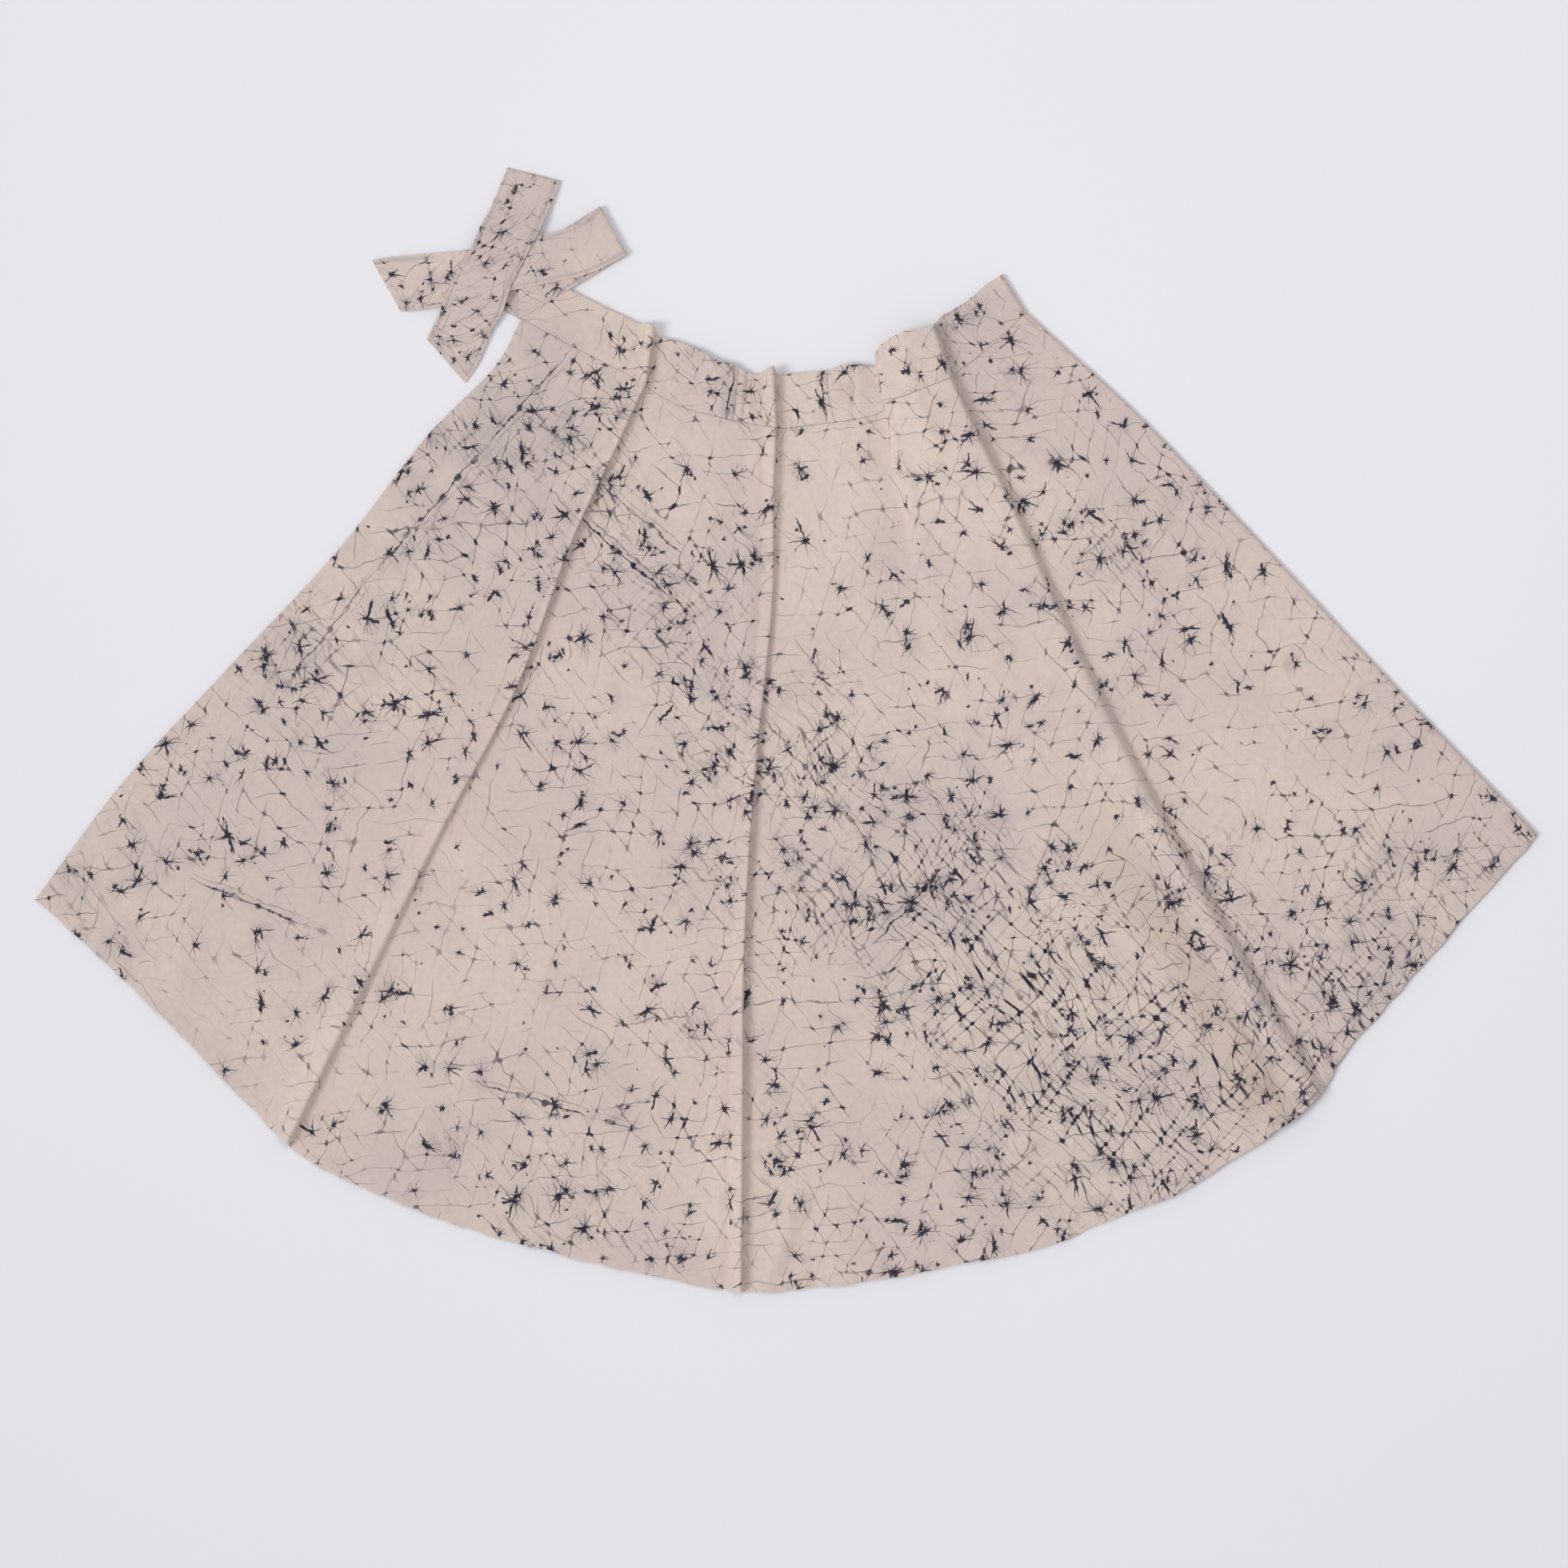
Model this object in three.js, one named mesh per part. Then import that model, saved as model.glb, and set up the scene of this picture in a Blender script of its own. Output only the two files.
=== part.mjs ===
// A cotton wrap skirt, folded in half and laid flat, in millimetres with +Z up.
// +X runs along the hem to the folded edge and +Y runs from the hem to the waistband.
// Every piece is a thin wall: two grids of points, an upper face and a lower face, closed at the edges.
import * as THREE from "three";

// Walls and gaps
const PANEL_CLOTH = 1.2;
const BAND_CLOTH = 1.6;
const TIE_CLOTH = 1.2;
const LAYER_GAP = 0.3;
const SEAM_GAP = 0.4;

// Level of the upper half's lower face, just clear of the hidden waistband
const UPPER_LEVEL = BAND_CLOTH + LAYER_GAP;

// Grid steps
const PANEL_ROWS = 16;
const BAND_ROWS = 4;
const HIDDEN_PANEL_ROWS = 8;
const HIDDEN_CELLS = 3;
const TIE_STEPS = 3;
const TURN_STEPS = 4;

// How far the folded edge rolls round, in quarter turns
const ROLL_REACH = 1.2;

// The hidden half lies a little inside the upper one.
const HIDDEN_SCALE = 0.994;
const HIDDEN_CENTRE = new THREE.Vector2(0, -60);

// Lines that run from the waist to the hem, left to right. Each has the places where it meets the waistband's
// free edge, the waist seam and the hem, how far the cloth stands off the half below it at those three places
// and halfway down the panel, and the number of grid cells up to the next line.
// prettier-ignore
const LINES = [
  // name        band x, y    seam x, y    hem x, y      lift: band, seam, middle, hem   cells
  ["side_edge", -224.2, 394, -223.4, 348, -634, -143, 0, 0, 0, 0, 5],
  ["side_panel", -171.8, 366.5, -183.4, 326, -533, -236, 0, 0, 2, 1, 5],
  ["tuck_start", -123.7, 343, -126.4, 296.4, -430.7, -342, 0, 0, 0, 0, 6],
  ["tuck_end", -110, 336, -118.9, 291, -419.8, -353.5, 0, 0, 0, 0, 4],
  ["left_front", -83, 324.6, -89.3, 273.8, -328, -399.5, 2, 1, 2, 1, 5],
  ["mid_front", -51.5, 309.5, -53.6, 264, -189, -443.5, 4, 2, 2, 1, 5],
  ["pleat_start", -21.3, 300.6, -18.5, 256.6, -48.8, -474, 0, 0, 0, 0, 6],
  ["pleat_end", -9.6, 300.6, -7.6, 255, -36.4, -475.7, 0, 0, 0, 0, 4],
  ["right_front", 30.9, 303.3, 30.9, 259, 63, -466.8, 3, 1, 2, 1, 3],
  ["band_crease", 57.7, 308, 57.7, 262, 152.5, -451, 5, 3, 2, 1, 2],
  ["valley", 74, 306.7, 79.7, 269, 209, -440, 1, 1, 2, 1, 3],
  ["puff_side", 83.8, 324, 90.7, 276.5, 270, -416, 9, 7, 3, 1, 3],
  ["puff_top", 103, 337, 111.3, 286, 340.8, -386.4, 16, 12, 7, 3, 4],
  ["crest", 119.5, 339, 133.3, 296.4, 444.5, -310.9, 18, 15, 12, 8, 4],
  ["crest_foot", 134.7, 350, 149.8, 306, 468.6, -279.3, 3, 2, 1, 1, 4],
  ["back_panel", 159.4, 367, 176.6, 326.7, 523.5, -215.4, 2, 2, 2, 1, 5],
  ["folded_edge", 183.4, 385, 203.4, 353.5, 635.5, -88.3, 1, 1, 1, 1, 0],
].map(([name, bandX, bandY, seamX, seamY, hemX, hemY, liftBand, liftSeam, liftMiddle, liftHem, cells]) => ({
  name,
  band: [bandX, bandY],
  seam: [seamX, seamY],
  hem: [hemX, hemY],
  lifts: [liftBand, liftSeam, liftMiddle, liftHem],
  cells,
}));
const LIFT_PLACES = [-1, 0, 0.5, 1];

// How far a line swings sideways from the straight way to the hem, at these shares of its length.
const SWING_SHARES = [0, 0.08, 0.2, 0.4, 0.6, 0.8, 1];
const SWINGS = {
  side_edge: [11.7, 3.4, 8.9, -0.7, -8.9],
  tuck_start: [0.7, 2, 14.4, 4.1, -3.4],
  tuck_end: [0, -0.7, 10.3, 4.8, 3.4],
  pleat_start: [0.7, 4.1, -4.1, -6.9, -4.1],
  pleat_end: [0, 2, -6.9, -10.3, -4.8],
  crest: [-2, -4.8, -13, -13.7, -8.2],
  crest_foot: [-1.5, -4, -11, -12, -7],
  folded_edge: [4.1, 9.6, 8.2, 4.8, 1.4],
};
const STRAIGHT = [0, 0, 0, 0, 0];

// Narrow standing folds between two neighbouring lines, with their height at the band edge, the waist
// seam, three quarter points of the panel and the hem.
const TUCKS = [
  { from: "tuck_start", heights: [10, 9, 9, 7, 8, 11] },
  { from: "pleat_start", heights: [12, 9, 6, 8, 9, 10] },
];
const TUCK_SHARES = [-1, 0, 0.25, 0.5, 0.75, 1];
const TUCK_LEAN = 1.5;

// Ties: a row for each cross line, from the lower or left edge to the upper or right one, with the height of
// the cloth's middle. A turn folds the strip back over itself at that line, up to a second height.
// prettier-ignore
const TIE_ONE = [
  // name             low x, y        high x, y       z     turn to
  ["band_fold", -226.2, 348.3, -226.2, 400.9, 2.7, 4.5],
  ["over_band", -184, 372, -190, 422, 4.7],
  ["right_fold", -134, 401.6, -156.6, 442.8, 3.2, 6.2],
  ["curled_edge", -165.6, 385.8, -176.6, 427.7, 6.6],
  ["past_fold", -192.4, 379.6, -192.4, 421.5, 6.4],
  ["above_root", -213, 375.4, -206.8, 418, 6.1],
  ["strap_side", -231.5, 371.3, -223.3, 413.9, 5.7],
  ["under_strap", -259.7, 364.5, -252.8, 407.8, 4.6],
  ["far_side", -290.6, 358.3, -280.3, 404.3, 3.8],
  ["left_lobe", -306.4, 355, -306.4, 402.2, 2.8],
  ["end_start", -321.5, 354.1, -339.4, 399.5, 1.4],
  ["slanted_end", -325.6, 354.3, -349.7, 397.4, 0.9],
];
// prettier-ignore
const TIE_TWO = [
  // name              low x, y        high x, y       z     turn to
  ["hidden_end", -260, 411.9, -216, 411.9, 2.1],
  ["hidden_rise", -247.5, 441.4, -204.5, 436, 1.1],
  ["top_fold", -235.6, 475.7, -191, 464.8, 0.7, 2.6],
  ["strap_top", -249.4, 441.4, -201, 438, 4.6],
  ["strap_notch", -258, 425, -207.5, 423, 7.2],
  ["crossing_start", -266.6, 405.7, -214.3, 409.8, 7.7],
  ["crossing_end", -281, 380.3, -231.5, 376, 7.4],
  ["past_crossing", -288.5, 363.1, -239.8, 352.1, 6.2],
  ["strap_fall", -294.7, 347.3, -249.4, 336.3, 4],
  ["strap_end", -303, 330.8, -260.4, 309.5, 2],
  ["slanted_end", -302.3, 330, -271, 293.5, 1.3],
];
// prettier-ignore
const TIE_TWO_ROOT = [
  // name              low x, y        high x, y       z
  ["band_end", -222.5, 345.9, -223.2, 391, TIE_CLOTH / 2],
  ["under_pile", -252.8, 362.4, -252.8, 406, TIE_CLOTH / 2],
  ["hidden_end", -261, 366.5, -259.7, 409, TIE_CLOTH / 2],
];

const lineNumber = (name) => LINES.findIndex((line) => line.name === name);
const LAST_LINE = LINES.length - 1;

// A smooth curve across the lines through one of their named points.
function acrossCurve(place) {
  const points = LINES.map((line) => new THREE.Vector3(...line[place], 0));
  return new THREE.CatmullRomCurve3(points, false, "centripetal");
}

const BAND_CURVE = acrossCurve("band");
const SEAM_CURVE = acrossCurve("seam");
const HEM_CURVE = acrossCurve("hem");

// The value at x of a smooth run through rising shares and their values.
function smoothTable(shares, values, x) {
  const last = shares.length - 1;
  const inside = THREE.MathUtils.clamp(x, shares[0], shares[last]);
  const next = Math.max(1, shares.findIndex((share) => inside <= share));
  const blend = THREE.MathUtils.smoothstep(inside, shares[next - 1], shares[next]);
  return THREE.MathUtils.lerp(values[next - 1], values[next], blend);
}

// The value at x of a curve through rising shares and their values, with no flat spots at the shares.
function roundedTable(shares, values, x) {
  const next = Math.max(1, shares.findIndex((share) => x <= share));
  const width = shares[next] - shares[next - 1];
  const slope = (k) => {
    const before = Math.max(0, k - 1);
    const after = Math.min(shares.length - 1, k + 1);
    return (values[after] - values[before]) / (shares[after] - shares[before]);
  };
  const s = (x - shares[next - 1]) / width;
  const start = values[next - 1] * (1 + 2 * s) * (1 - s) ** 2 + slope(next - 1) * width * s * (1 - s) ** 2;
  const end = values[next] * s * s * (3 - 2 * s) + slope(next) * width * s * s * (s - 1);
  return start + end;
}

// A mix of two neighbouring lines' values, where across is a line number with a fraction.
function betweenLines(across, valueOf) {
  const first = Math.min(Math.floor(across), LAST_LINE - 1);
  return THREE.MathUtils.lerp(valueOf(LINES[first]), valueOf(LINES[first + 1]), across - first);
}

// A place on the flat pattern. down is -1 at the band's free edge, 0 at the seam and 1 at the hem.
function flatPoint(across, down) {
  const seam = SEAM_CURVE.getPoint(across / LAST_LINE);
  if (down <= 0) {
    return seam.lerp(BAND_CURVE.getPoint(across / LAST_LINE), -down);
  }
  const swing = betweenLines(across, (line) =>
    roundedTable(SWING_SHARES, [0, ...(SWINGS[line.name] ?? STRAIGHT), 0], down));
  const point = seam.lerp(HEM_CURVE.getPoint(across / LAST_LINE), down);
  point.x += swing;
  return point;
}

// How far the cloth stands off the half below it.
function liftAt(across, down) {
  const first = Math.min(Math.floor(across), LAST_LINE - 1);
  const share = across - first;
  const liftOf = (line) => smoothTable(LIFT_PLACES, line.lifts, down);
  const blend = THREE.MathUtils.smoothstep(share, 0, 1);
  const soft = THREE.MathUtils.lerp(liftOf(LINES[first]), liftOf(LINES[first + 1]), blend);
  const tuck = TUCKS.find((row) => lineNumber(row.from) === first);
  if (!tuck) {
    return soft;
  }
  const height = smoothTable(TUCK_SHARES, tuck.heights, down);
  return soft + height * Math.sin(Math.PI * share ** TUCK_LEAN);
}

// The lower face of the upper cloth at one place.
function clothPoint(across, down) {
  const point = flatPoint(across, down);
  point.z = UPPER_LEVEL + liftAt(across, down);
  return point;
}

// The way out of the cloth, square to its run across the skirt.
function clothNormal(across, down) {
  const reach = 0.04;
  const before = clothPoint(Math.max(0, across - reach), down);
  const after = clothPoint(Math.min(LAST_LINE, across + reach), down);
  const run = after.sub(before).normalize();
  return new THREE.Vector3(0, 0, 1).addScaledVector(run, -run.z).normalize();
}

// Line numbers with fractions for the grid's columns, with the given cells between each pair of lines.
function columnPlaces(cellsOf) {
  const places = LINES.slice(0, -1).flatMap((line, number) => {
    const cells = cellsOf(line);
    return Array.from({ length: cells }, (_, cell) => number + cell / cells);
  });
  return [...places, LAST_LINE];
}

// Closes two grids of points, an upper and a lower face of one sheet, into a solid wall.
function closedWall(upper, lower) {
  const rows = upper.length;
  const columns = upper[0].length;
  const positions = [upper, lower].flatMap((grid) => grid.flat().flatMap((point) => point.toArray()));
  const at = (side, row, column) => side * rows * columns + row * columns + column;
  const faces = [];
  const quad = (a, b, c, d) => faces.push(a, b, c, a, c, d);
  for (let row = 0; row < rows - 1; row += 1) {
    for (let column = 0; column < columns - 1; column += 1) {
      quad(at(0, row, column), at(0, row + 1, column), at(0, row + 1, column + 1), at(0, row, column + 1));
      quad(at(1, row, column), at(1, row, column + 1), at(1, row + 1, column + 1), at(1, row + 1, column));
    }
    quad(at(0, row, 0), at(1, row, 0), at(1, row + 1, 0), at(0, row + 1, 0));
    const end = columns - 1;
    quad(at(0, row, end), at(0, row + 1, end), at(1, row + 1, end), at(1, row, end));
  }
  for (let column = 0; column < columns - 1; column += 1) {
    quad(at(0, 0, column), at(0, 0, column + 1), at(1, 0, column + 1), at(1, 0, column));
    const end = rows - 1;
    quad(at(0, end, column), at(1, end, column), at(1, end, column + 1), at(0, end, column + 1));
  }
  const geometry = new THREE.BufferGeometry();
  geometry.setAttribute("position", new THREE.Float32BufferAttribute(positions, 3));
  geometry.setIndex(faces);
  geometry.computeVertexNormals();
  return geometry;
}

// The upper half of the panel or band: a wall of the given cloth, its folded edge rolled down beside the
// hidden half.
function upperWall(fromDown, toDown, rows, cloth, seamShift) {
  const places = columnPlaces((line) => line.cells);
  const upper = [];
  const lower = [];
  for (let row = 0; row <= rows; row += 1) {
    const down = THREE.MathUtils.lerp(fromDown, toDown, row / rows);
    const shift = down === 0 ? seamShift : 0;
    const upperRow = [];
    const lowerRow = [];
    for (const across of places) {
      const inner = clothPoint(across, down);
      const out = clothNormal(across, down);
      inner.y += shift;
      upperRow.push(inner.clone().addScaledVector(out, cloth));
      lowerRow.push(inner);
    }
    rollEdge(upperRow, lowerRow, cloth);
    upper.push(upperRow);
    lower.push(lowerRow);
  }
  return closedWall(upper, lower);
}

// Rolls a row's end down to the table round the folded edge, with its outside where the row ended.
function rollEdge(upperRow, lowerRow, cloth) {
  const inner = lowerRow.at(-1);
  const before = lowerRow.at(-2);
  const outward = new THREE.Vector3(inner.x - before.x, inner.y - before.y, 0).normalize();
  const radius = inner.z / 2;
  inner.addScaledVector(outward, -radius - cloth);
  upperRow.at(-1).copy(inner).setZ(inner.z + cloth);
  const axis = inner.clone().setZ(radius);
  for (let step = 1; step <= TURN_STEPS; step += 1) {
    const angle = (Math.PI / 2) * (1 - (ROLL_REACH * step) / TURN_STEPS);
    const way = outward.clone().multiplyScalar(Math.cos(angle)).setZ(Math.sin(angle));
    lowerRow.push(axis.clone().addScaledVector(way, radius));
    upperRow.push(axis.clone().addScaledVector(way, radius + cloth));
  }
}

// The hidden half of the panel or band: one flat wall on the table.
function hiddenWall(fromDown, toDown, rows, cloth, seamShift) {
  const places = columnPlaces(() => HIDDEN_CELLS);
  const lower = [];
  for (let row = 0; row <= rows; row += 1) {
    const down = THREE.MathUtils.lerp(fromDown, toDown, row / rows);
    const shift = down === 0 ? seamShift : 0;
    lower.push(places.map((across) => {
      const flat = flatPoint(across, down);
      const x = HIDDEN_CENTRE.x + (flat.x - HIDDEN_CENTRE.x) * HIDDEN_SCALE;
      const y = HIDDEN_CENTRE.y + (flat.y - HIDDEN_CENTRE.y) * HIDDEN_SCALE;
      return new THREE.Vector3(x, y + shift, 0);
    }));
  }
  const upper = lower.map((row) => row.map((point) => point.clone().setZ(cloth)));
  return closedWall(upper, lower);
}

// The cross lines of a tie, each with its two ends on the cloth's middle and the way that its first face looks.
// The strip starts face down and each turn brings its other face up.
function tieLines(rows) {
  const ends = rows.map(([, lowX, lowY, highX, highY, z]) => ({
    low: new THREE.Vector3(lowX, lowY, z),
    high: new THREE.Vector3(highX, highY, z),
  }));
  const lines = [];
  let facing = -1;
  rows.forEach((row, number) => {
    const { low, high } = ends[number];
    const turnTo = row[6];
    if (turnTo === undefined) {
      lines.push({ low, high, face: new THREE.Vector3(0, 0, facing) });
      return;
    }
    lines.push(...turnLines(low, high, turnTo, ends[number + 1], -facing));
    facing = -facing;
  });
  return lines;
}

// The cross lines round one turn, whose outside touches the line from low to high.
function turnLines(low, high, turnTo, next, side) {
  const radius = (turnTo - low.z) / 2;
  const outward = new THREE.Vector3(high.y - low.y, low.x - high.x, 0).normalize();
  const back = next.low.clone().add(next.high).sub(low).sub(high);
  if (outward.dot(back) > 0) {
    outward.negate();
  }
  const inset = new THREE.Vector3(0, 0, radius).addScaledVector(outward, -radius - TIE_CLOTH / 2);
  return Array.from({ length: TURN_STEPS + 1 }, (_, step) => {
    const angle = Math.PI * (step / TURN_STEPS - 0.5);
    const way = outward.clone().multiplyScalar(Math.cos(angle)).setZ(Math.sin(angle));
    const move = inset.clone().addScaledVector(way, radius);
    return { low: low.clone().add(move), high: high.clone().add(move), face: way.multiplyScalar(side) };
  });
}

// A tie stretch: a strip of cloth along its cross lines.
function tieWall(rows) {
  const lines = tieLines(rows);
  const sheet = (side) => lines.map(({ low, high, face }) =>
    Array.from({ length: TIE_STEPS + 1 }, (_, step) =>
      low.clone().lerp(high, step / TIE_STEPS).addScaledVector(face, (side * TIE_CLOTH) / 2)));
  return closedWall(sheet(1), sheet(-1));
}

const COTTON = { color: 0xdccdc1, roughness: 0.9, metalness: 0 };
const SHADED_COTTON = { color: 0xd2c6c0, roughness: 0.9, metalness: 0 };

function piece(name, geometry, finish) {
  const mesh = new THREE.Mesh(geometry, new THREE.MeshStandardMaterial(finish));
  mesh.name = name;
  return mesh;
}

const HALF_GAP = SEAM_GAP / 2;
const skirt = new THREE.Group();
skirt.add(
  piece("skirt_upper_half", upperWall(0, 1, PANEL_ROWS, PANEL_CLOTH, -HALF_GAP), COTTON),
  piece("skirt_hidden_half", hiddenWall(0, 1, HIDDEN_PANEL_ROWS, PANEL_CLOTH, -HALF_GAP), COTTON),
  piece("waistband_upper", upperWall(-1, 0, BAND_ROWS, BAND_CLOTH, HALF_GAP), COTTON),
  piece("waistband_hidden", hiddenWall(-1, 0, 1, BAND_CLOTH, HALF_GAP), COTTON),
  piece("tie_one", tieWall(TIE_ONE), SHADED_COTTON),
  piece("tie_two", tieWall(TIE_TWO), SHADED_COTTON),
  piece("tie_two_root", tieWall(TIE_TWO_ROOT), SHADED_COTTON),
);

// The origin is on the table, at the middle of the whole garment.
const extent = new THREE.Box3().setFromObject(skirt);
const middle = extent.getCenter(new THREE.Vector3());
skirt.position.set(-middle.x, -middle.y, -extent.min.z);

export default skirt;
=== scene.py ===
"""A cotton wrap skirt, folded in half and laid flat, with its two ties on top.

The cloth is modelled on the pattern's own lines, which run from the waist to the hem. Sizes in the tables are
in millimetres, in the pattern's frame, and every mesh is in metres in the part's frame.
"""
import math
from collections import namedtuple

import bmesh
import bpy
from mathutils import Matrix, Vector, noise


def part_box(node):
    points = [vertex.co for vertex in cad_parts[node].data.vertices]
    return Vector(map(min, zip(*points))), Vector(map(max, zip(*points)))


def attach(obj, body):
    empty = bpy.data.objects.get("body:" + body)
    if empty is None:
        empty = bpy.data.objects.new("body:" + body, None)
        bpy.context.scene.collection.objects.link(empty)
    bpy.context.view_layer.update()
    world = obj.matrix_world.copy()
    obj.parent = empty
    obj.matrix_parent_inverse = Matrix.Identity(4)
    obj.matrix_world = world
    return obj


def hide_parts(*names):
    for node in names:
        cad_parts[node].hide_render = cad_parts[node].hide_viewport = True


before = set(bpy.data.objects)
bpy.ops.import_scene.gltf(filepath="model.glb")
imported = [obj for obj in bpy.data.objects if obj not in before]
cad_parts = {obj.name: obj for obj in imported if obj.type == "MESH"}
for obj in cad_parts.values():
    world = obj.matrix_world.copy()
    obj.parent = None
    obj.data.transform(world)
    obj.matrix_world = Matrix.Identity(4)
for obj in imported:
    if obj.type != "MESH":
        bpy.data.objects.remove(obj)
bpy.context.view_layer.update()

MM = 0.001
UP = Vector((0, 0, 1))

# ---------------------------------------------------------------- sizes of the cloth

PANEL_CLOTH = 1.2
BAND_CLOTH = 1.6
TIE_CLOTH = 1.2
UPPER_LEVEL = 1.9  # the upper half's inner face, just clear of the hidden waistband
DEEPEST_DIP = 0.25  # the upper half sags below its level by no more than this
SEAM_GAP = 0.15  # the panel and the band each stop this far from the waist seam
TURNED_EDGE = 0.4  # rounding of a turned edge
EDGE_ANGLE = 70  # edges that turn by more than this, in degrees, are rounded

# Cells of the cloth's grid
PANEL_ROWS = 112
BAND_ROWS = 18
HIDDEN_CELLS = 4
ROLL_STEPS = 6

# The hidden half: drawn in towards a centre, so that it stays inside the upper half's outline, and softly
# uneven. Its last two sizes are in lines of the pattern, counted from the fold.
HIDDEN_SCALE = 0.994
HIDDEN_CENTRE = Vector((0, -60, 0))
HIDDEN_RISE = 0.15
HIDDEN_RISE_LENGTH = 60
HIDDEN_FLATTENED = 0.5
HIDDEN_SETTLED = 2

# Stitch lines, as distances from the cloth's edge
HEM_DEPTH = 40
SIDE_HEM_DEPTH = 16
TIE_STITCH_INSET = 2.7

# The turned hem lifts the cloth, from a little above its stitches. Extra rows of the grid hold the step.
TURN_STEP = 0.35
TURN_START = HEM_DEPTH + 3
TURN_RUN = 4
TURN_ROWS = (-1.5, 0, 1.5, 3, 4.5)

Line = namedtuple("Line", "name band seam hem lifts cells")

# Lines from the waist to the hem, left to right: where each meets the waistband's free edge, the waist seam
# and the hem, how far the cloth stands off the half below at those places and halfway down, and the grid
# cells up to the next line.
LINES = [
    Line(name, Vector((bx, by, 0)), Vector((sx, sy, 0)), Vector((hx, hy, 0)), lifts, cells)
    for name, bx, by, sx, sy, hx, hy, lifts, cells in (
        # name          band x, y     seam x, y      hem x, y       lifts: band, seam, middle, hem   cells
        ("side_edge", -224.2, 394, -223.4, 348, -634, -143, (0, 0, 0, 0), 22),
        ("side_panel", -171.8, 366.5, -183.4, 326, -533, -236, (0, 0, 2, 1), 22),
        ("tuck_start", -123.7, 343, -126.4, 296.4, -430.7, -342, (0, 0, 0, 0), 16),
        ("tuck_end", -110, 336, -118.9, 291, -419.8, -353.5, (0, 0, 0, 0), 16),
        ("left_front", -83, 324.6, -89.3, 273.8, -328, -399.5, (2, 1, 2, 1), 22),
        ("mid_front", -51.5, 309.5, -53.6, 264, -189, -443.5, (4, 2, 2, 1), 22),
        ("pleat_start", -21.3, 300.6, -18.5, 256.6, -48.8, -474, (0, 0, 0, 0), 16),
        ("pleat_end", -9.6, 300.6, -7.6, 255, -36.4, -475.7, (0, 0, 0, 0), 16),
        ("right_front", 30.9, 303.3, 30.9, 259, 63, -466.8, (3, 1, 2, 1), 12),
        ("band_crease", 57.7, 308, 57.7, 262, 152.5, -451, (5, 3, 2, 1), 8),
        ("valley", 74, 306.7, 79.7, 269, 209, -440, (1, 1, 2, 1), 10),
        ("puff_side", 83.8, 324, 90.7, 276.5, 270, -416, (9, 7, 3, 1), 12),
        ("puff_top", 103, 337, 111.3, 286, 340.8, -386.4, (16, 12, 7, 3), 34),
        ("crest", 119.5, 339, 133.3, 296.4, 444.5, -310.9, (18, 14, 11, 9), 18),
        ("crest_foot", 134.7, 350, 149.8, 306, 468.6, -279.3, (3, 2, 2, 1), 12),
        ("back_panel", 159.4, 367, 176.6, 326.7, 523.5, -215.4, (2, 2, 2, 1), 20),
        ("folded_edge", 183.4, 385, 203.4, 353.5, 635.5, -88.3, (1, 1, 1, 1), 0),
    )
]
LAST_LINE = len(LINES) - 1
LIFT_PLACES = (-1, 0, 0.5, 1)

# How far a line swings sideways from the straight way to the hem, at these shares of its length
SWING_SHARES = (0, 0.08, 0.2, 0.4, 0.6, 0.8, 1)
SWINGS = {
    "side_edge": (11.7, 3.4, 8.9, -0.7, -8.9),
    "tuck_start": (0.7, 2, 14.4, 4.1, -3.4),
    "tuck_end": (0, -0.7, 10.3, 4.8, 3.4),
    "pleat_start": (0.7, 4.1, -4.1, -6.9, -4.1),
    "pleat_end": (0, 2, -6.9, -10.3, -4.8),
    "crest": (-2, -4.8, -13, -13.7, -8.2),
    "crest_foot": (-1.5, -4, -11, -12, -7),
    "folded_edge": (4.1, 9.6, 8.2, 4.8, 1.4),
}
STRAIGHT = (0, 0, 0, 0, 0)

# Narrow standing folds that start at a line, with their heights at these places, and how far they lean over
TUCKS = {
    "tuck_start": (10, 9, 9, 7, 8, 11),
    "pleat_start": (12, 9, 6, 8, 9, 10),
}
TUCK_SHARES = (-1, 0, 0.25, 0.5, 0.75, 1)
TUCK_LEAN = 1.2
TUCK_OVERHANG = 3

# How far the cloth at a line leans sideways over its neighbour, and how far down the panel it does so
LEANS = {
    "valley": (2, 0.22),
    "puff_side": (-4.5, 0.22),
    "crest": (4, 1.3),
}
LEAN_EASE = 0.2  # the share of the panel over which a lean dies away

# Where the cloth falls off a line steeply, the share of the way to the next line that it takes
DROP_SHARES = {"crest": 0.3}

# How far the hem's edge wanders in and out, the length of its waves, and how far down the panel they start
HEM_WAVE = 2.6
HEM_WAVE_LENGTH = 19
HEM_WAVE_START = 0.88

# Small rises and dips of the waistband's free edge: place, height and half width
BAND_EDGE_BUMPS = (
    ("tuck_top", -117, 3, 5),
    ("beside_tuck", -104, -1.5, 6),
    ("scallop_one", -73, 1.5, 8),
    ("scallop_two", -46, 2, 6),
    ("pleat_top", -14, 6.5, 5),
    ("dip", -29, -1, 6),
    ("scallop_three", 49, 2.5, 7),
    ("scallop_four", 66, 1.5, 6),
    ("puff_edge", 128, 2.5, 9),
    ("corner_rise", 172, 2, 10),
)

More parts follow.
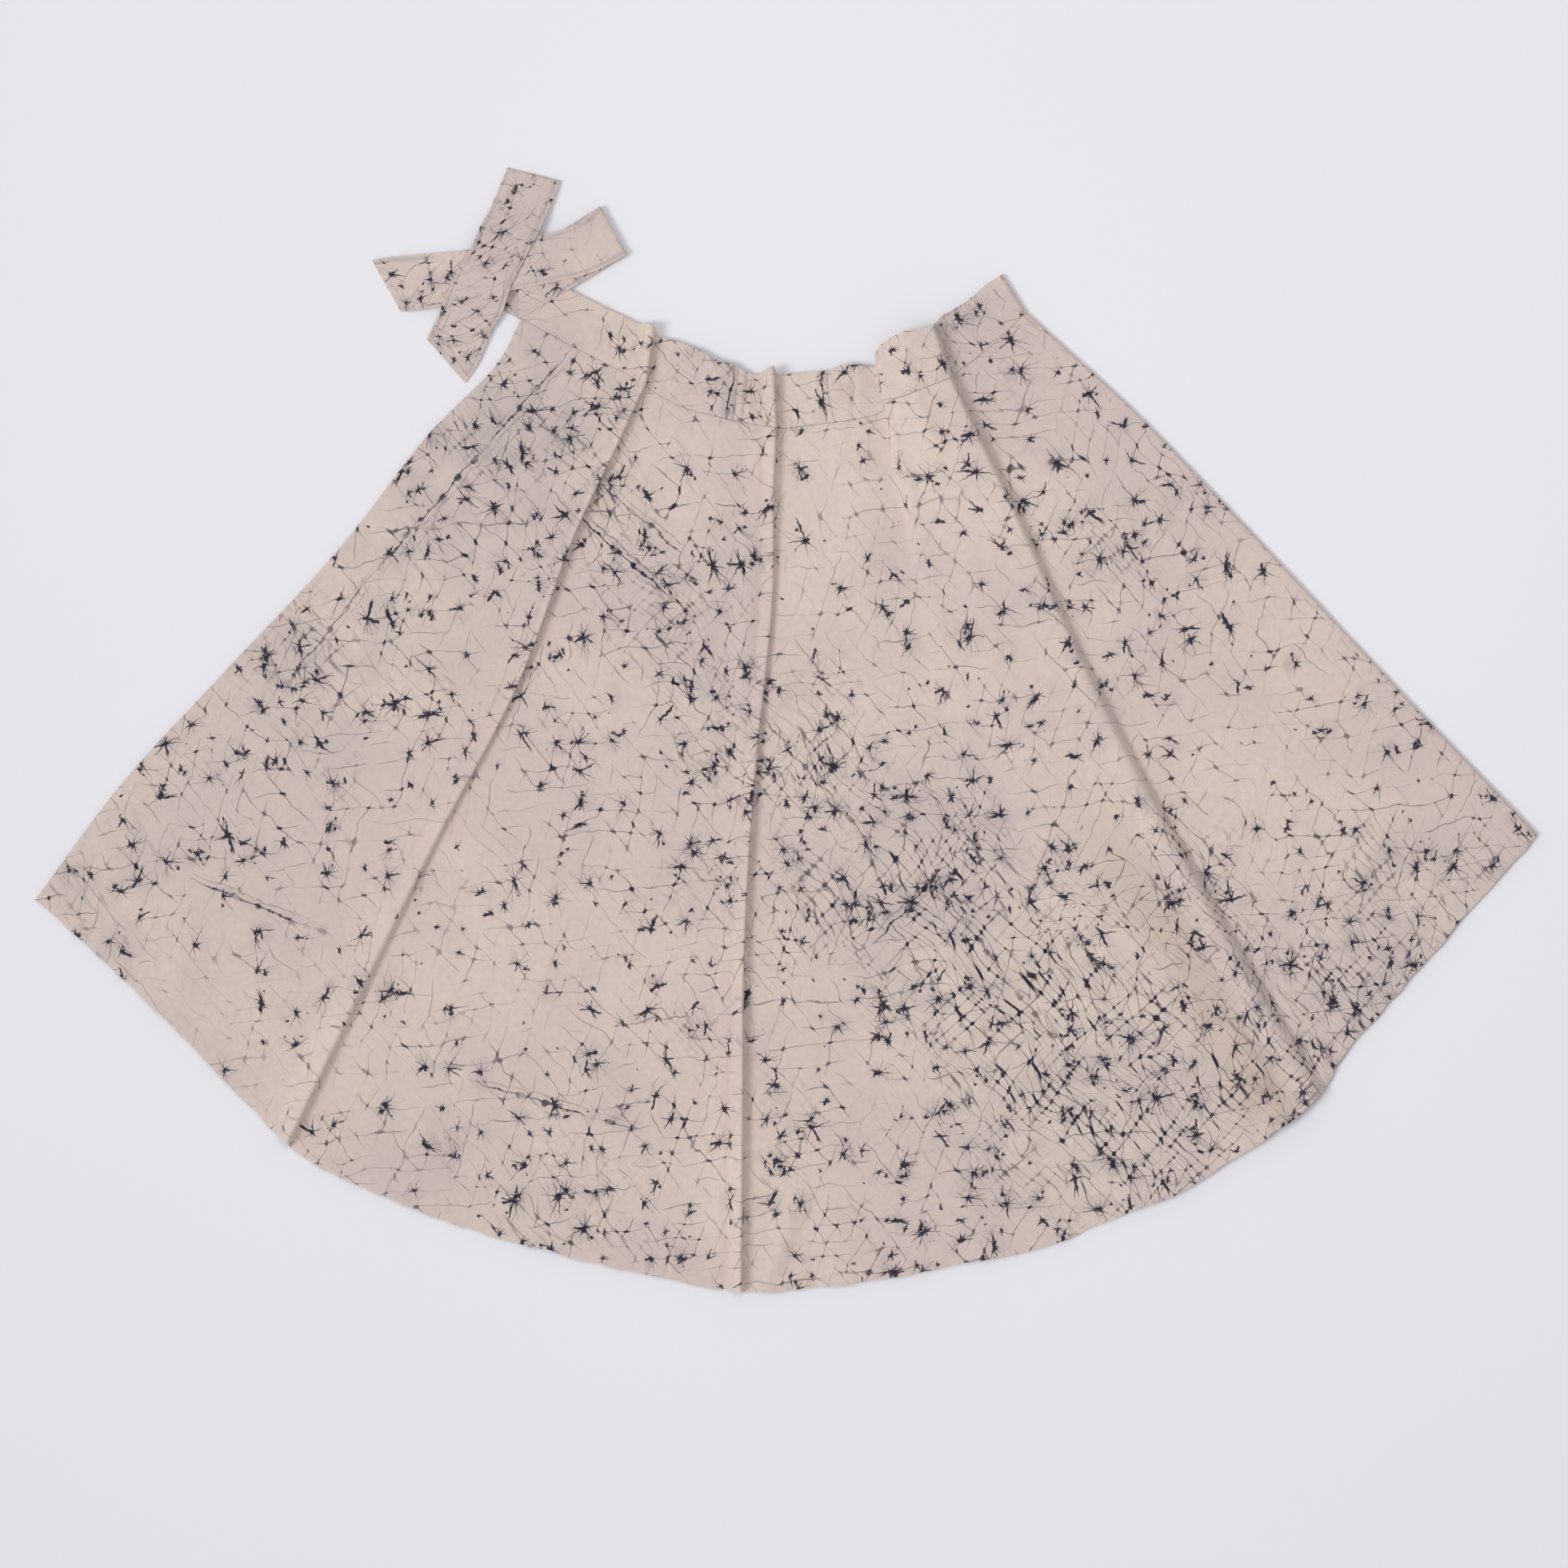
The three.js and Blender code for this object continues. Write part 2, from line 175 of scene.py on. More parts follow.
# Soft creases of the upper half: where each starts and ends, half its width, and its height or depth
CREASES = (
    # name              from x, y     to x, y       width  height
    ("pleat_shoulder", -27, 252, -19, 178, 9, 2.5),
    ("pleat_shoulder_middle", -27, 185, -44, -190, 9, 1.8),
    ("pleat_shoulder_low", -44, -180, -58, -470, 9, 2.2),
    ("tuck_shoulder_middle", -238, 46, -354, -168, 8, 1.6),
    ("crest_roll_high", 240, 53, 301, -68, 6, 1.8),
    ("crest_roll_middle", 301, -68, 369, -189, 6, 2.4),
    ("crest_roll_low", 369, -189, 434, -302, 6, 2.6),
    ("crest_hollow", 288, -80, 410, -290, 7, -1.2),
    ("hem_flap", 8.9, -398, -20, -476, 6, 4.5),
    ("pale_crease", 4.8, -357.6, 79.7, -309.5, 3.5, 1.1),
    ("fold_hem_upper", 372, -252, 400, -298, 9, 3),
    ("fold_hem_lower", 396, -292, 419, -338, 8, 4),
    ("short_crease", 448.6, -268.3, 472, -272.4, 3, 1.2),
    ("side_line_one", -184, 316, -397, 68, 2.2, 0.45),
    ("side_line_two", -176, 300, -352, 110, 2.2, 0.4),
    ("left_chain", -500, -127, -390, -172, 2.5, 0.6),
    ("lower_chain", -253, -299, -122, -337, 2.5, 0.6),
    ("tuck_shoulder", -168, 213, -231.5, 44, 5, 1.1),
    ("tuck_shoulder_low", -353, -170, -433, -346, 5, 1.6),
    ("streak_left", -39, 308, -43, 260, 2, -1.2),
    ("streak_middle", -35.5, 308, -39.5, 260, 2.4, 1.2),
    ("streak_right", -31.6, 308, -36.4, 260, 2, -1.2),
    ("band_crease", 57, 312, 57.7, 258, 2.2, -1.6),
    ("waist_gather_one", 44, 256, 40, 214, 6, 0.9),
    ("waist_gather_two", 104, 290, 128, 236, 8, 1.6),
    ("waist_gather_three", -88, 276, -96, 232, 6, 0.9),
    ("waist_gather_four", 168, 322, 196, 270, 7, 1),
    ("waist_gather_five", -150, 312, -168, 262, 6, 0.9),
    ("right_panel", 365, 137, 434, 27, 22, 1.4),
    ("right_low", 503, -69, 462, -193, 24, 1.5),
    ("centre", 56, 137, 104, -69, 26, 1.3),
    ("left_panel", -294, 68, -335, -96, 24, 1.2),
    ("mid_left", -115, 0, -143, -206, 26, 1.3),
    ("hem_wave_one", 152, -371, 166, -452, 14, 2),
    ("hem_wave_two", -184, -364, -191, -444, 16, 1.8),
    ("hem_wave_three", 324, -330, 345, -386, 12, 1.8),
    ("hem_wave_four", -507, -200, -522, -252, 14, 1.6),
)
CREASE_OVERRUN = 0.15  # a crease runs on past each end by this share of its length,
CREASE_FADE = 0.35  # and fades over this share
CREASE_SPREAD = 3  # half widths at which nothing is left of it
CREASE_BOW = 0.4  # how far it bows sideways, as a share of its half width
CREASE_BOWS = 3  # bows along it

# Soft rises of cloth that lies loosely: their length, height, the level that they swing round, and a seed
RISES = (
    ("broad", 95, 0.9, 0.5, 3.1),
    ("small", 31, 0.35, 0.3, 7.7),
)

# Ties: a row for each cross line, from the lower or left edge to the upper or right one, with the height of
# the cloth's middle. A turn folds the strip back over itself at that line, up to a second height.
TIE_ONE = (
    # name            low x, y      high x, y     z    turn to
    ("band_fold", -226.2, 348.3, -226.2, 400.9, 2.7, 4.5),
    ("over_band", -184, 372, -190, 422, 4.7, None),
    ("right_fold", -134, 401.6, -156.6, 442.8, 3.2, 6.2),
    ("curled_edge", -165.6, 385.8, -176.6, 427.7, 6.6, None),
    ("past_fold", -192.4, 379.6, -192.4, 421.5, 6.4, None),
    ("above_root", -213, 375.4, -206.8, 418, 6.1, None),
    ("strap_side", -231.5, 371.3, -223.3, 413.9, 5.7, None),
    ("under_strap", -259.7, 364.5, -252.8, 407.8, 4.6, None),
    ("far_side", -290.6, 358.3, -280.3, 404.3, 3.8, None),
    ("left_lobe", -306.4, 355, -306.4, 402.2, 2.8, None),
    ("end_start", -321.5, 354.1, -339.4, 399.5, 1.4, None),
    ("slanted_end", -325.6, 354.3, -349.7, 397.4, 0.9, None),
)
TIE_TWO = (
    ("hidden_end", -260, 411.9, -216, 411.9, 2.1, None),
    ("hidden_rise", -247.5, 441.4, -204.5, 436, 1.1, None),
    ("top_fold", -235.6, 475.7, -191, 464.8, 0.7, 2.6),
    ("strap_top", -249.4, 441.4, -201, 438, 4.6, None),
    ("strap_notch", -258, 425, -207.5, 423, 7.2, None),
    ("crossing_start", -266.6, 405.7, -214.3, 409.8, 7.7, None),
    ("crossing_end", -281, 380.3, -231.5, 376, 7.4, None),
    ("past_crossing", -288.5, 363.1, -239.8, 352.1, 6.2, None),
    ("strap_fall", -294.7, 347.3, -249.4, 336.3, 4, None),
    ("strap_end", -303, 330.8, -260.4, 309.5, 2, None),
    ("slanted_end", -302.3, 330, -271, 293.5, 1.3, None),
)
TIE_TWO_ROOT = (
    ("band_end", -222.5, 345.9, -223.2, 391, 0.6, None),
    ("under_pile", -252.8, 362.4, -252.8, 406, 0.6, None),
    ("hidden_end", -261, 366.5, -259.7, 409, 0.6, None),
)
TIE_EDGE_SHARES = (0, 0.025, 0.05, 0.065, 0.08, 0.1, 0.14)
TIE_CROSS_SHARES = (*TIE_EDGE_SHARES, 0.22, 0.31, 0.4, 0.5, 0.6, 0.69, 0.78,
                    *(1 - share for share in reversed(TIE_EDGE_SHARES)))
TIE_STEP = 4.5
TURN_STEPS = 4

# Where each tie's dye lies on the pattern, well away from the panel's
TIE_ONE_PATTERN = (1400, 300)
TIE_TWO_PATTERN = (1400, 700)
TIE_TWO_ROOT_PATTERN = (1400, 900)

# A tie's soft waves: their height, their lengths along it and up through the pile, how many cross it, and how
# near its edges they start
TIE_WAVE = 0.3
TIE_WAVE_LENGTH = 22
TIE_WAVE_RISE = 9
TIE_WAVES_ACROSS = 2
TIE_WAVE_INSET = 8

# The groove in which each edge of a tie is sewn, and how much painted shade greys it
GROOVE_INSET = TIE_STITCH_INSET + 0.4
GROOVE_WIDTH = 0.9
GROOVE_DEPTH = 0.5
GROOVE_PAINTED_SHADE = 2.2

# The pattern's frame is set in the part's by the corner of the one piece that lies flat.
ROOT_CORNER = Vector((TIE_TWO_ROOT[2][1], TIE_TWO_ROOT[0][2], 0))
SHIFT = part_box("tie_two_root")[0] - ROOT_CORNER * MM
SHIFT.z = 0

# ---------------------------------------------------------------- where the dye took, and where shade is painted

# Patches where the ink knots crowd together, or are few where the amount is below zero
BASE_DENSITY = 0.52
DENSITY_PATCHES = (
    # name              x, y        radius amount
    ("slope_top", 22, -21, 75, 0.35),
    ("slope_centre", 118, -131, 95, 0.5),
    ("slope_middle", 194, -213, 80, 0.35),
    ("slope_low", 256, -282, 100, 0.6),
    ("slope_end", 331, -337, 80, 0.4),
    ("crest_side", 362, -131, 60, 0.35),
    ("right_corner", 565, -165, 90, 0.45),
    ("right_hem", 448, -275, 75, 0.5),
    ("right_high", 317, 171, 70, 0.25),
    ("centre_left", -88, 110, 90, 0.3),
    ("tuck_head", -136, 233, 60, 0.3),
    ("side_head", -260, 226, 90, 0.28),
    ("side_middle", -397, 89, 60, 0.3),
    ("side_low", -438, 20, 50, 0.25),
    ("left_front", -370, -42, 40, 0.2),
    ("left_corner", -569, -138, 80, 0.3),
    ("left_hem", -170, -399, 60, 0.35),
    ("centre_hem", 22, -378, 60, 0.2),
    ("middle_left", -67, -124, 40, 0.25),
    ("pleat_left", -54, -248, 50, 0.25),
    ("waist_right", 12, 261, 30, 0.4),
    ("band_right", 173, 357, 50, 0.3),
    ("band_left", -60, 302, 25, 0.3),
    ("bare_left", -473, -220, 90, -0.3),
    ("bare_front", -74, 206, 60, -0.15),
    ("bare_right_front", 77, 178, 80, -0.15),
    ("bare_left_middle", -280, -96, 60, -0.15),
    ("bare_right", 448, 0, 60, -0.1),
    ("bare_centre_low", 111, -296, 60, -0.15),
    ("bare_left_low", -239, -241, 70, -0.12),
    ("tie_fold", 1512, 322, 34, -0.8),
)

# Patches with a lilac grey cast, and tan ones: a stain on the band, painted shade in its valley and by the
# fold at the hem
LILAC_PATCHES = (
    ("side_head", -280, 261, 120, 0.55),
    ("side_edge", -390, 68, 100, 0.55),
    ("left_corner", -576, -145, 110, 0.5),
    ("left_hem", -280, -358, 100, 0.35),
    ("slope_centre", 125, -138, 110, 0.45),
    ("slope_low", 269, -296, 110, 0.35),
    ("right_corner", 558, -158, 130, 0.3),
    ("right_middle", 283, 96, 110, 0.35),
    ("band_right", 180, 343, 60, 0.45),
    ("centre_left", -74, 110, 90, 0.3),
    ("tuck_head", -191, 261, 80, 0.4),
    ("band_streak_top", -35, 303, 7, 2),
    ("band_streak_middle", -37, 288, 7, 2),
    ("band_streak_low", -39, 272, 7, 2),
)
TAN_STAIN_AND_PAINTED_SHADE_PATCHES = (
    ("fold_hem", 420, -300, 30, 0.45),
    ("band_stain", -25, 287, 12, 0.6),
    ("band_valley", 76, 285, 10, 0.9),
)

# Long tan streaks of painted shade beside a fold: where each starts and ends, half its width and its amount
PAINTED_SHADE_STREAKS = (
    ("crest_flank", 259, -47, 430, -325, 19, 0.95),
)
# How far a streak runs past its start and fades in, and the same at its end, as shares of its length
STREAK_START = (0.1, 0.4)
STREAK_END = (0.08, 0.12)

# Straight folds that took the dye as rows of knots: where each starts and ends, and how strong it is
CHAINS = (
    ("left_chain", -500, -127, -390, -172, 0.9),
    ("lower_chain", -253, -299, -122, -337, 0.85),
    ("side_chain", -186, 316, -342, 140, 0.9),
    ("side_chain_low", -350, 132, -420, 40, 0.7),
    ("front_chain", -161, 178, -81, 108, 1.6),
    ("second_front_chain", -148, 210, -76, 149, 0.8),
    ("dark_bar", 95, -178, 150, -117, 1.3),
    ("slope_chain", -4, 13, 90, -96, 0.7),
    ("slope_chain_low", 146, -131, 249, -268, 0.7),
    ("band_streak", -34, 306, -38.5, 262, 1.1),
    ("band_crease", 57, 310, 58, 262, 0.9),
)
CHAIN_REACH = 9
CHAIN_OVERRUN = 0.1
CHAIN_FADE = 0.2
NO_CHAIN = Vector((0, 30, 0))  # a place that far from every row has no part in one

# The hidden half's dye: its density, how uneven that is, over what length, and its lilac cast
HIDDEN_DENSITY = BASE_DENSITY + 0.15
HIDDEN_PATCHINESS = 0.25
HIDDEN_PATCH_LENGTH = 90
HIDDEN_LILAC = 0.3

# Small rust marks: place, radius and strength
RUST_MARKS = (
    ("slope_mark", 211, -210, 5, 0.8),
    ("crest_mark", 286, 13, 3, 0.4),
)

# ---------------------------------------------------------------- curves and tables


def mix(start, end, share):
    return start + (end - start) * share


def smooth(share):
    """A share from 0 to 1, eased at both ends."""
    share = min(1, max(0, share))
    return share * share * (3 - 2 * share)


def end_fade(share, overrun, run):
    """How strongly a straight mark shows at a share of its length. It fades out past both its ends."""
    return smooth((share + overrun) / run) * smooth((1 + overrun - share) / run)


def wander(x, y, length, seed):
    """A value from -1 to 1 that changes softly over a length. Each seed gives another pattern."""
    return noise.noise(Vector((x / length, y / length, seed)))


def hermite(start, end, start_slope, end_slope, s):
    """A cubic from start to end."""
    first = start * ((1 + 2 * s) * (1 - s) ** 2) + start_slope * (s * (1 - s) ** 2)
    return first + end * (s * s * (3 - 2 * s)) + end_slope * (s * s * (s - 1))


def curve_point(points, position):
    """A centripetal Catmull-Rom curve through points, at a point number with a fraction."""
    first = min(int(position), len(points) - 2)
    here, after = points[first], points[first + 1]
    before = points[first - 1] if first else 2 * here - after
    beyond = points[first + 2] if first + 2 < len(points) else 2 * after - here
    d0, d1, d2 = (math.sqrt(max(1e-6, (b - a).length))
                  for a, b in ((before, here), (here, after), (after, beyond)))
    start = ((here - before) / d0 - (after - before) / (d0 + d1) + (after - here) / d1) * d1
    end = ((after - here) / d1 - (beyond - here) / (d1 + d2) + (beyond - after) / d2) * d1
    return hermite(here, after, start, end, position - first)


def next_share(shares, x):
    """The number of the first share at or past x, from 1 up."""
    return max(1, next((k for k, share in enumerate(shares) if x <= share), len(shares) - 1))


def smooth_table(shares, values, x):
    """The value at x, with an eased run between each two shares."""
    after = next_share(shares, x)
    low, high = shares[after - 1], shares[after]
    return mix(values[after - 1], values[after], smooth((x - low) / (high - low)))


def rounded_table(shares, values, x):
    """The value at x of a curve through the table, with no flat spots at the shares."""
    after = next_share(shares, x)
    width = shares[after] - shares[after - 1]

    def slope(k):
        low, high = max(0, k - 1), min(len(shares) - 1, k + 1)
        return (values[high] - values[low]) / (shares[high] - shares[low]) * width

    s = (x - shares[after - 1]) / width
    return hermite(values[after - 1], values[after], slope(after - 1), slope(after), s)


def patch_amount(patches, x, y):
    """The sum of the round patches at a place."""
    return sum(amount * math.exp(-((x - px) ** 2 + (y - py) ** 2) / radius**2)
               for _, px, py, radius, amount in patches)


def along_and_across(x, y, from_x, from_y, to_x, to_y):
    """A place's share of the way along a straight stretch, the distance along it and the one across it."""
    run = Vector((to_x - from_x, to_y - from_y))
    length = run.length
    way = run / length
    step = Vector((x - from_x, y - from_y))
    along = step.dot(way)
    return along / length, along, step.cross(way)


def streak_amount(streaks, x, y):
    """The sum of the long streaks at a place. Each fades in along its first part and ends softly."""
    (before, rise), (past, fall) = STREAK_START, STREAK_END
    total = 0.0
    for _, from_x, from_y, to_x, to_y, width, amount in streaks:
        share, _, across = along_and_across(x, y, from_x, from_y, to_x, to_y)
        fade = smooth((share + before) / rise) * smooth((1 + past - share) / fall)
        total += amount * fade * math.exp(-((across / width) ** 2))
    return total


# ---------------------------------------------------------------- the folded cloth

BAND_POINTS = [line.band for line in LINES]
SEAM_POINTS = [line.seam for line in LINES]
HEM_POINTS = [line.hem for line in LINES]


class Column:
    """One run of the cloth from the waistband to the hem, at a line number with a fraction."""

    def __init__(self, across):
        first = min(int(across), LAST_LINE - 1)
        left, right = LINES[first], LINES[first + 1]
        share = across - first
        self.across = across
        self.share = share
        self.band = curve_point(BAND_POINTS, across)
        self.seam = curve_point(SEAM_POINTS, across)
        self.hem = curve_point(HEM_POINTS, across)
        swings = zip(SWINGS.get(left.name, STRAIGHT), SWINGS.get(right.name, STRAIGHT))
        self.swings = [0, *(mix(a, b, share) for a, b in swings), 0]
        fallen = smooth(share / DROP_SHARES.get(left.name, 1))
        self.lifts = [mix(a, b, fallen) for a, b in zip(left.lifts, right.lifts)]
        self.tuck = TUCKS.get(left.name)
        self.leans = [LEANS.get(line.name, (0, 1)) for line in (left, right)]

    def flat(self, down):
        """The place on the table. down is -1 at the band's free edge, 0 at the seam and 1 at the hem."""
        if down <= 0:
            place = self.seam.lerp(self.band, -down)
            for _, x, height, reach in BAND_EDGE_BUMPS:
                place.y += down * down * height * math.exp(-(((self.band.x - x) / reach) ** 2))
            return place
        place = self.seam.lerp(self.hem, down)
        place.x += rounded_table(SWING_SHARES, self.swings, down)
        wave = HEM_WAVE * wander(self.hem.x, self.hem.y, HEM_WAVE_LENGTH, 2.2)
        grown = smooth((down - HEM_WAVE_START) / (1 - HEM_WAVE_START))
        return place + (self.hem - self.seam).normalized() * (wave * grown)

    def inner(self, down):
        """The upper half's inner face."""
        place = self.flat(down)
        lift = smooth_table(LIFT_PLACES, self.lifts, down) + unevenness(place.x, place.y)
        lift += self.turned_edge(down)
        if self.tuck:
            bend = self.share**TUCK_LEAN * math.pi
            lift += smooth_table(TUCK_SHARES, self.tuck, down) * math.sin(bend)
            place.x += TUCK_OVERHANG * math.sin(bend) ** 2
        (left_lean, left_reach), (right_lean, right_reach) = self.leans
        left_lean *= smooth((left_reach - down) / LEAN_EASE)
        right_lean *= smooth((right_reach - down) / LEAN_EASE)
        place.x += mix(left_lean, right_lean, smooth(self.share))
        place.z = UPPER_LEVEL + max(-DEEPEST_DIP, lift)
        return place

    def turned_edge(self, down):
        """The small step where the turned hem ends inside."""
        to_hem = (1 - down) * (self.hem - self.seam).length
        return TURN_STEP * smooth((TURN_START - to_hem) / TURN_RUN)

    def hidden(self, down):
        """The hidden half's place on the table, a little inside the upper half's outline."""
        return HIDDEN_CENTRE + (self.flat(down) - HIDDEN_CENTRE) * HIDDEN_SCALE


def unevenness(x, y):
    """The soft rise and fall of cloth that lies loosely, with its creases."""
    rise = sum(height * (wander(x, y, length, seed) + level) for _, length, height, level, seed in RISES)
    for _, from_x, from_y, to_x, to_y, width, height in CREASES:
        share, _, across = along_and_across(x, y, from_x, from_y, to_x, to_y)
        if -CREASE_OVERRUN < share < 1 + CREASE_OVERRUN and abs(across) < CREASE_SPREAD * width:
            bow = CREASE_BOW * width * noise.noise(Vector((share * CREASE_BOWS, from_x / 50, from_y / 50)))
            fade = end_fade(share, CREASE_OVERRUN, CREASE_FADE)
            rise += height * fade * math.exp(-(((across + bow) / width) ** 2))
    return rise


def fold_line_mirror(place):
    """A place on the far side of the fold, as it lay on the pattern before the skirt was folded."""
    start, end = LINES[-1].seam, LINES[-1].hem
    way = (end - start).normalized()
    foot = start + way * (place - start).dot(way)
    return 2 * foot - place


# A spot's shade is painted shade, which greys the cloth along with the lilac cast
Spot = namedtuple("Spot", "place pattern hidden shade", defaults=(0,))


def folded_row(columns, hidden_columns, down, cloth, shift):
    """One row of the folded cloth's inner face: the upper half, the roll and the hidden half."""
    row = []
    spare = 0.0
    for column in columns:
        place = column.inner(down)
        place.y += shift
        flat = column.flat(down)
        if row:
            run = place - row[-1].place
            spare += run.length - run.to_2d().length
        row.append(Spot(place, flat + Vector((spare, 0, 0)), False))
    end = row.pop().place
    outward = ((end - row[-1].place) * Vector((1, 1, 0))).normalized()
    radius = (end.z - cloth) / 2
    axis = end - outward * (radius + cloth)
    axis.z = cloth + radius
    edge = columns[-1].flat(down) + Vector((spare, 0, 0))
    for step in range(ROLL_STEPS + 1):
        angle = math.pi * (0.5 - step / ROLL_STEPS)
        place = axis + outward * (radius * math.cos(angle)) + UP * (radius * math.sin(angle))
        row.append(Spot(place, edge + outward * (radius * step / ROLL_STEPS), step > ROLL_STEPS / 2))
    for column in hidden_columns:
        from_fold = LAST_LINE - column.across
        place = column.hidden(down)
        place.y += shift
        place = axis.lerp(place, smooth(from_fold / HIDDEN_FLATTENED))
        rise = HIDDEN_RISE * (1 + noise.noise(place / HIDDEN_RISE_LENGTH))
        place.z = cloth + rise * smooth(from_fold / HIDDEN_SETTLED)
        row.append(Spot(place, fold_line_mirror(column.flat(down)) + Vector((spare, 0, 0)), True))
    return row


def upper_columns():
    """The upper half's columns, left to right."""
    places = [number + cell / line.cells
              for number, line in enumerate(LINES) for cell in range(line.cells)]
    return [Column(across) for across in [*places, LAST_LINE]]


def hidden_half_columns():
    """The hidden half's columns, from the fold back to the left."""
    count = LAST_LINE * HIDDEN_CELLS
    return [Column(LAST_LINE - (cell + 1) / HIDDEN_CELLS) for cell in range(count)]


def dye_values(x, y, hidden):
    """The dye's density and tints at a place, the tan being stains and painted shade. The hidden half took
    the dye more evenly.
    """
    if hidden:
        density = HIDDEN_DENSITY + HIDDEN_PATCHINESS * wander(x, y, HIDDEN_PATCH_LENGTH, 5)
        return density, HIDDEN_LILAC, 0.0
    density = BASE_DENSITY + patch_amount(DENSITY_PATCHES, x, y)
    tan_stain_and_painted_shade = patch_amount(TAN_STAIN_AND_PAINTED_SHADE_PATCHES, x, y) + streak_amount(PAINTED_SHADE_STREAKS, x, y)
    return density, patch_amount(LILAC_PATCHES, x, y), tan_stain_and_painted_shade


def chain_value(x, y, hidden):
    """The nearest straight dye fold: the distances along and across it, and its strength here."""
    nearest = NO_CHAIN
    for _, from_x, from_y, to_x, to_y, strength in CHAINS:
        share, along, across = along_and_across(x, y, from_x, from_y, to_x, to_y)
        if -CHAIN_OVERRUN < share < 1 + CHAIN_OVERRUN and abs(across) < abs(nearest.y):
            fade = end_fade(share, CHAIN_OVERRUN, CHAIN_FADE)
            reach = 1 - smooth((abs(across) - CHAIN_REACH) / CHAIN_REACH)
            nearest = Vector((along, across, 0 if hidden else strength * fade * reach))
    return nearest


def grid_sheet(rows):
    """A sheet of cloth from rows of spots, as a bmesh in metres with its pattern map, dye values and painted
    shade.
    """
    across, down = len(rows[0]) - 1, len(rows) - 1
    sheet = bmesh.new()
    bmesh.ops.create_grid(sheet, x_segments=across, y_segments=down, size=1)
    pattern = sheet.loops.layers.uv.new("pattern")
    density = sheet.verts.layers.float.new("ink_density")
    lilac_cast_and_painted_shade = sheet.verts.layers.float.new("lilac_cast_and_painted_shade")
    tan_stain_and_painted_shade = sheet.verts.layers.float.new("tan_stain_and_painted_shade")
    chain = sheet.verts.layers.float_vector.new("chain")
    spots = {}
    for vert in sheet.verts:
        column = round((vert.co.x + 1) / 2 * across)
        row = round((1 - vert.co.y) / 2 * down)
        spot = rows[row][column]
        spots[vert] = spot
        x, y, _ = spot.pattern
        vert[density], vert[lilac_cast_and_painted_shade], vert[tan_stain_and_painted_shade] = dye_values(x, y, spot.hidden)
        # Painted shade in a tie's sewn groove
        vert[lilac_cast_and_painted_shade] += spot.shade
        vert[chain] = chain_value(x, y, spot.hidden) * MM
    for face in sheet.faces:
        for loop in face.loops:
            loop[pattern].uv = spots[loop.vert].pattern.to_2d() * MM
    for vert, spot in spots.items():
        vert.co = spot.place * MM + SHIFT
    return sheet


def scene_object(name, data):
    """A new object, put in the scene."""
    made = bpy.data.objects.new(name, data)
    bpy.context.scene.collection.objects.link(made)
    return made


def mesh_object(name, sheet, material):
    """An object made from a bmesh."""
    mesh = bpy.data.meshes.new(name)
    sheet.to_mesh(mesh)
    sheet.free()
    mesh.materials.append(material)
    return scene_object(name, mesh)


def skirt_piece(name, sheet, material):
    """A smooth piece of the skirt, which is all one body."""
    piece = mesh_object(name, sheet, material)
    piece.data.shade_smooth()
    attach(piece, "root")
    return piece


def cloth_piece(name, sheet, cloth, offset, material):
    """A sheet made a piece: a shell of the cloth's thickness with rounded edges."""
    piece = skirt_piece(name, sheet, material)
    shell = piece.modifiers.new("cloth", "SOLIDIFY")
    shell.thickness = cloth * MM
    shell.offset = offset
    edge = piece.modifiers.new("turned_edge", "BEVEL")
    edge.width = TURNED_EDGE * MM
    edge.segments = 2
    edge.limit_method = "ANGLE"
    edge.angle_limit = math.radians(EDGE_ANGLE)
    return piece


def row_places(start, end, count, extra=()):
    """Even shares from start to end, with extra ones between them."""
    return sorted({mix(start, end, row / count) for row in range(count + 1)} | set(extra))


def folded_cloth(name, places, cloth, seam_shift, material):
    """A panel or band that is folded in half at the right."""
    columns = upper_columns()
    hidden_columns = hidden_half_columns()
    rows = []
    for down in places:
        shift = seam_shift if down == 0 else 0
        rows.append(folded_row(columns, hidden_columns, down, cloth, shift))
    return cloth_piece(name, grid_sheet(rows), cloth, 1, material)


# ---------------------------------------------------------------- ties

CrossLine = namedtuple("CrossLine", "low high face")


def turn_lines(low, high, turn_to, following, side):
    """The cross lines round one turn, whose outside touches the line from low to high."""
    radius = (turn_to - low.z) / 2
    outward = Vector((high.y - low.y, low.x - high.x, 0)).normalized()
    if outward.dot(following - (low + high) / 2) > 0:
        outward.negate()
    inset = UP * radius - outward * (radius + TIE_CLOTH / 2)
    lines = []
    for step in range(TURN_STEPS + 1):
        angle = math.pi * (step / TURN_STEPS - 0.5)
        way = outward * math.cos(angle) + UP * math.sin(angle)
        move = inset + way * radius
        lines.append(CrossLine(low + move, high + move, way * side))
    return lines


def tie_lines(rows):
    """A tie's cross lines. The strip starts face down and each turn brings its other face up."""
    lines = []
    facing = -1
    for number, (_, low_x, low_y, high_x, high_y, z, turn_to) in enumerate(rows):
        low, high = Vector((low_x, low_y, z)), Vector((high_x, high_y, z))
        if turn_to is None:
            lines.append(CrossLine(low, high, UP * facing))
            continue
        _, next_low_x, next_low_y, next_high_x, next_high_y, _, _ = rows[number + 1]
        following = Vector((next_low_x + next_high_x, next_low_y + next_high_y, 0)) / 2
        lines += turn_lines(low, high, turn_to, following, -facing)
        facing = -facing
    return lines


